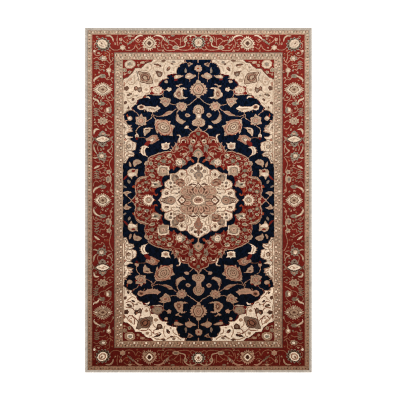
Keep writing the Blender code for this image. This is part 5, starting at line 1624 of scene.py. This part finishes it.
def make_serging(side):
    """Yarn wrapped over the cord and the edge of the backing along one side, mitred at its ends."""
    on_length = side in ("left", "right")
    across, along = (RUG_HALF_X, RUG_HALF_Y) if on_length else (RUG_HALF_Y, RUG_HALF_X)
    sign = 1 if side in ("right", "head") else -1
    outside = np.array(serging_contour())
    section = np.vstack([outside, CORD_POCKET])
    count, shown = len(section), len(outside)
    turns = int(2 * along / YARN_PITCH)
    steps = turns * STEPS_A_TURN
    t = np.linspace(-1, 1, steps + 1)[:, None]
    # each turn of yarn stands out round between two grooves, and leans along the edge
    tangent = np.gradient(outside, axis=0)
    normal = np.column_stack([-tangent[:, 1], tangent[:, 0]]) / np.hypot(*tangent.T)[:, None]
    length = np.concatenate([[0], np.cumsum(np.hypot(*np.diff(outside, axis=0).T))])
    phase = (t + 1) / 2 * turns + YARN_LEAN * length[None, :] / length[-1]
    thickness = rng.uniform(0.75, 1.0, turns + 4)
    swell = np.abs(np.sin(math.pi * phase)) ** 0.7
    swell *= thickness[np.floor(phase).astype(int)]
    drop = (1 - swell) * YARN_RELIEF
    fade = np.minimum(1, np.minimum(np.arange(shown), np.arange(shown)[::-1]) / 1.0)
    inset = np.broadcast_to(section[None, :, 0], (steps + 1, count)).copy()
    height = np.broadcast_to(section[None, :, 1], (steps + 1, count)).copy()
    inset[:, :shown] -= drop * fade * normal[:, 0]
    height[:, :shown] -= drop * fade * normal[:, 1]
    height = np.maximum(height, 0)
    u = sign * (across - inset)
    v = t * (along - section[None, :, 0] - MITRE_GAP)
    x, y = (u, v) if on_length else (v, u)
    vertices = np.stack([x, y, height], -1).reshape(-1, 3)
    ring = np.arange(count)
    base = np.arange(steps)[:, None] * count
    after = (ring + 1) % count
    quads = np.stack([base + ring, base + after, base + after + count, base + ring + count], -1)
    quads = quads.reshape(-1, 4)
    cap = np.array(tessellate_polygon([[Vector((a, b, 0)) for a, b in section]]))
    faces = [quads, cap, cap[:, ::-1] + steps * count]
    # painted shade: how far each point of the yarn rises out of its groove; the material darkens the low
    # points
    shade = np.zeros((steps + 1, count))
    shade[:, :shown] = swell
    turn = np.zeros((steps + 1, count))
    turn[:, :shown] = rng.uniform(0, 1, turns + 4)[np.floor(phase).astype(int)]
    smooth_faces = np.concatenate([np.ones(len(quads), bool), np.zeros(2 * len(cap), bool)])
    piece = new_piece("serging_yarn_" + side, vertices, faces, smooth_faces,
                      [("groove_shade", "POINT", shade.ravel()), ("turn", "POINT", turn.ravel())])
    outward(piece)
    return piece


def outward(piece):
    """Turns every face of a closed piece to point out of it."""
    work = bmesh.new()
    work.from_mesh(piece.data)
    bmesh.ops.recalc_face_normals(work, faces=work.faces)
    work.to_mesh(piece.data)
    work.free()


def make_cloth(name, node, cell, wave):
    """A layer of the backing as a closed cloth of small cells, with the slight waviness it has."""
    low, high = (Vector(corner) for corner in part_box(node))
    cols = round((high.x - low.x) / cell)
    rows = round((high.y - low.y) / cell)
    x = np.linspace(low.x, high.x, cols + 1)
    y = np.linspace(low.y, high.y, rows + 1)
    grid = np.stack(np.broadcast_arrays(x[None, :], y[:, None]), -1).reshape(-1, 2)
    upper = high.z - rng.uniform(0, wave, len(grid))
    lower = low.z + rng.uniform(0, wave, len(grid))
    vertices = np.vstack([np.column_stack([grid, upper]), np.column_stack([grid, lower])])
    i = (np.arange(rows)[:, None] * (cols + 1) + np.arange(cols)).ravel()
    quads = np.column_stack([i, i + 1, i + cols + 2, i + cols + 1])
    below = quads[:, ::-1] + len(grid)
    edges = np.concatenate([quads[:, (k, (k + 1) % 4)] for k in range(4)])
    key = edges[:, 0] * len(grid) + edges[:, 1]
    rim = edges[~np.isin(key, edges[:, 1] * len(grid) + edges[:, 0])]
    walls = np.column_stack([rim[:, 1], rim[:, 0], rim[:, 0] + len(grid), rim[:, 1] + len(grid)])
    smooth_faces = np.concatenate([np.ones(2 * len(quads), bool), np.zeros(len(walls), bool)])
    return new_piece(name, vertices, [quads, below, walls], smooth_faces)


# The scene

pile_pieces = make_pile()

yarn_material = serging_yarn()
cord_material = weave("cord_cotton", (214, 204, 180), (190, 178, 152), pitch=0.0012, roughness=0.9,
                      depth=0.0003)
for side in SIDES:
    wrapped = make_serging(side)
    finish_piece(wrapped, yarn_material, "serging_yarn", "serging_" + side)
    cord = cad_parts["edge_cord_" + side]
    cord.material_slots[0].material = cord_material

canvas = make_cloth("canvas", "primary_backing", cell=0.010, wave=0.0001)
canvas_weave = weave("canvas_weave", (206, 196, 170), (186, 174, 148), pitch=0.0016, roughness=0.92,
                     depth=0.0003)
finish_piece(canvas, canvas_weave, "canvas_cotton", "primary_backing")
scrim = make_cloth("scrim", "secondary_backing", cell=0.008, wave=0.00015)
scrim_weave = weave("scrim_weave", (196, 184, 160), (168, 154, 130), pitch=0.0042, roughness=0.95,
                    depth=0.0006)
finish_piece(scrim, scrim_weave, "scrim_cotton", "secondary_backing")
latex = make_cloth("latex_film", "latex_coat", cell=0.012, wave=0.0002)
finish_piece(latex, dried_latex(), "latex", "latex_coat")

# The floor, white to its far edge
floor_mesh = bpy.data.meshes.new("floor")
floor_mesh.from_pydata([(-30, -30, 0), (30, -30, 0), (30, 30, 0), (-30, 30, 0)], [], [(0, 1, 2, 3)])
floor = bpy.data.objects.new("floor", floor_mesh)
floor.location.z = -0.0005
bpy.context.scene.collection.objects.link(floor)
paint = Tree("floor_paint", 0.9)
paint.shader.inputs["Base Color"].default_value = (0.9, 0.9, 0.9, 1.0)
paint.shader.inputs["Emission Color"].default_value = (1.0, 1.0, 1.0, 1.0)
paint.shader.inputs["Emission Strength"].default_value = FLOOR_GLOW
floor_mesh.materials.append(paint.material)

# Light: an even sky, and a large soft lamp over the head of the rug
world = bpy.data.worlds.new("studio")
world.use_nodes = True
bpy.context.scene.world = world
sky = world.node_tree.nodes["Background"]
sky.inputs["Color"].default_value = (1.0, 1.0, 1.0, 1.0)
sky.inputs["Strength"].default_value = SKY
lamp_data = bpy.data.lights.new("key", "AREA")
lamp_data.shape = "RECTANGLE"
lamp_data.size = 2.4
lamp_data.size_y = 1.2
lamp_data.energy = KEY
lamp_data.color = (1.0, 0.97, 0.93)
lamp = bpy.data.objects.new("key", lamp_data)
lamp.location = KEY_PLACE
lamp.rotation_euler = (Vector(KEY_AIM) - Vector(KEY_PLACE)).to_track_quat("-Z", "Y").to_euler()
bpy.context.scene.collection.objects.link(lamp)

# The camera looks straight down
camera_data = bpy.data.cameras.new("camera")
camera_data.lens = 85
camera_data.sensor_width = 36
camera = bpy.data.objects.new("camera", camera_data)
camera.location = (CAMERA_X, CAMERA_Y, PILE_TOP + VIEW_WIDTH * camera_data.lens / camera_data.sensor_width)
camera_data.clip_end = 100
bpy.context.scene.collection.objects.link(camera)
bpy.context.scene.camera = camera
bpy.context.scene.view_settings.view_transform = "Standard"
# a crisp pixel, so single knots can be told apart
bpy.context.scene.cycles.filter_width = 1.0
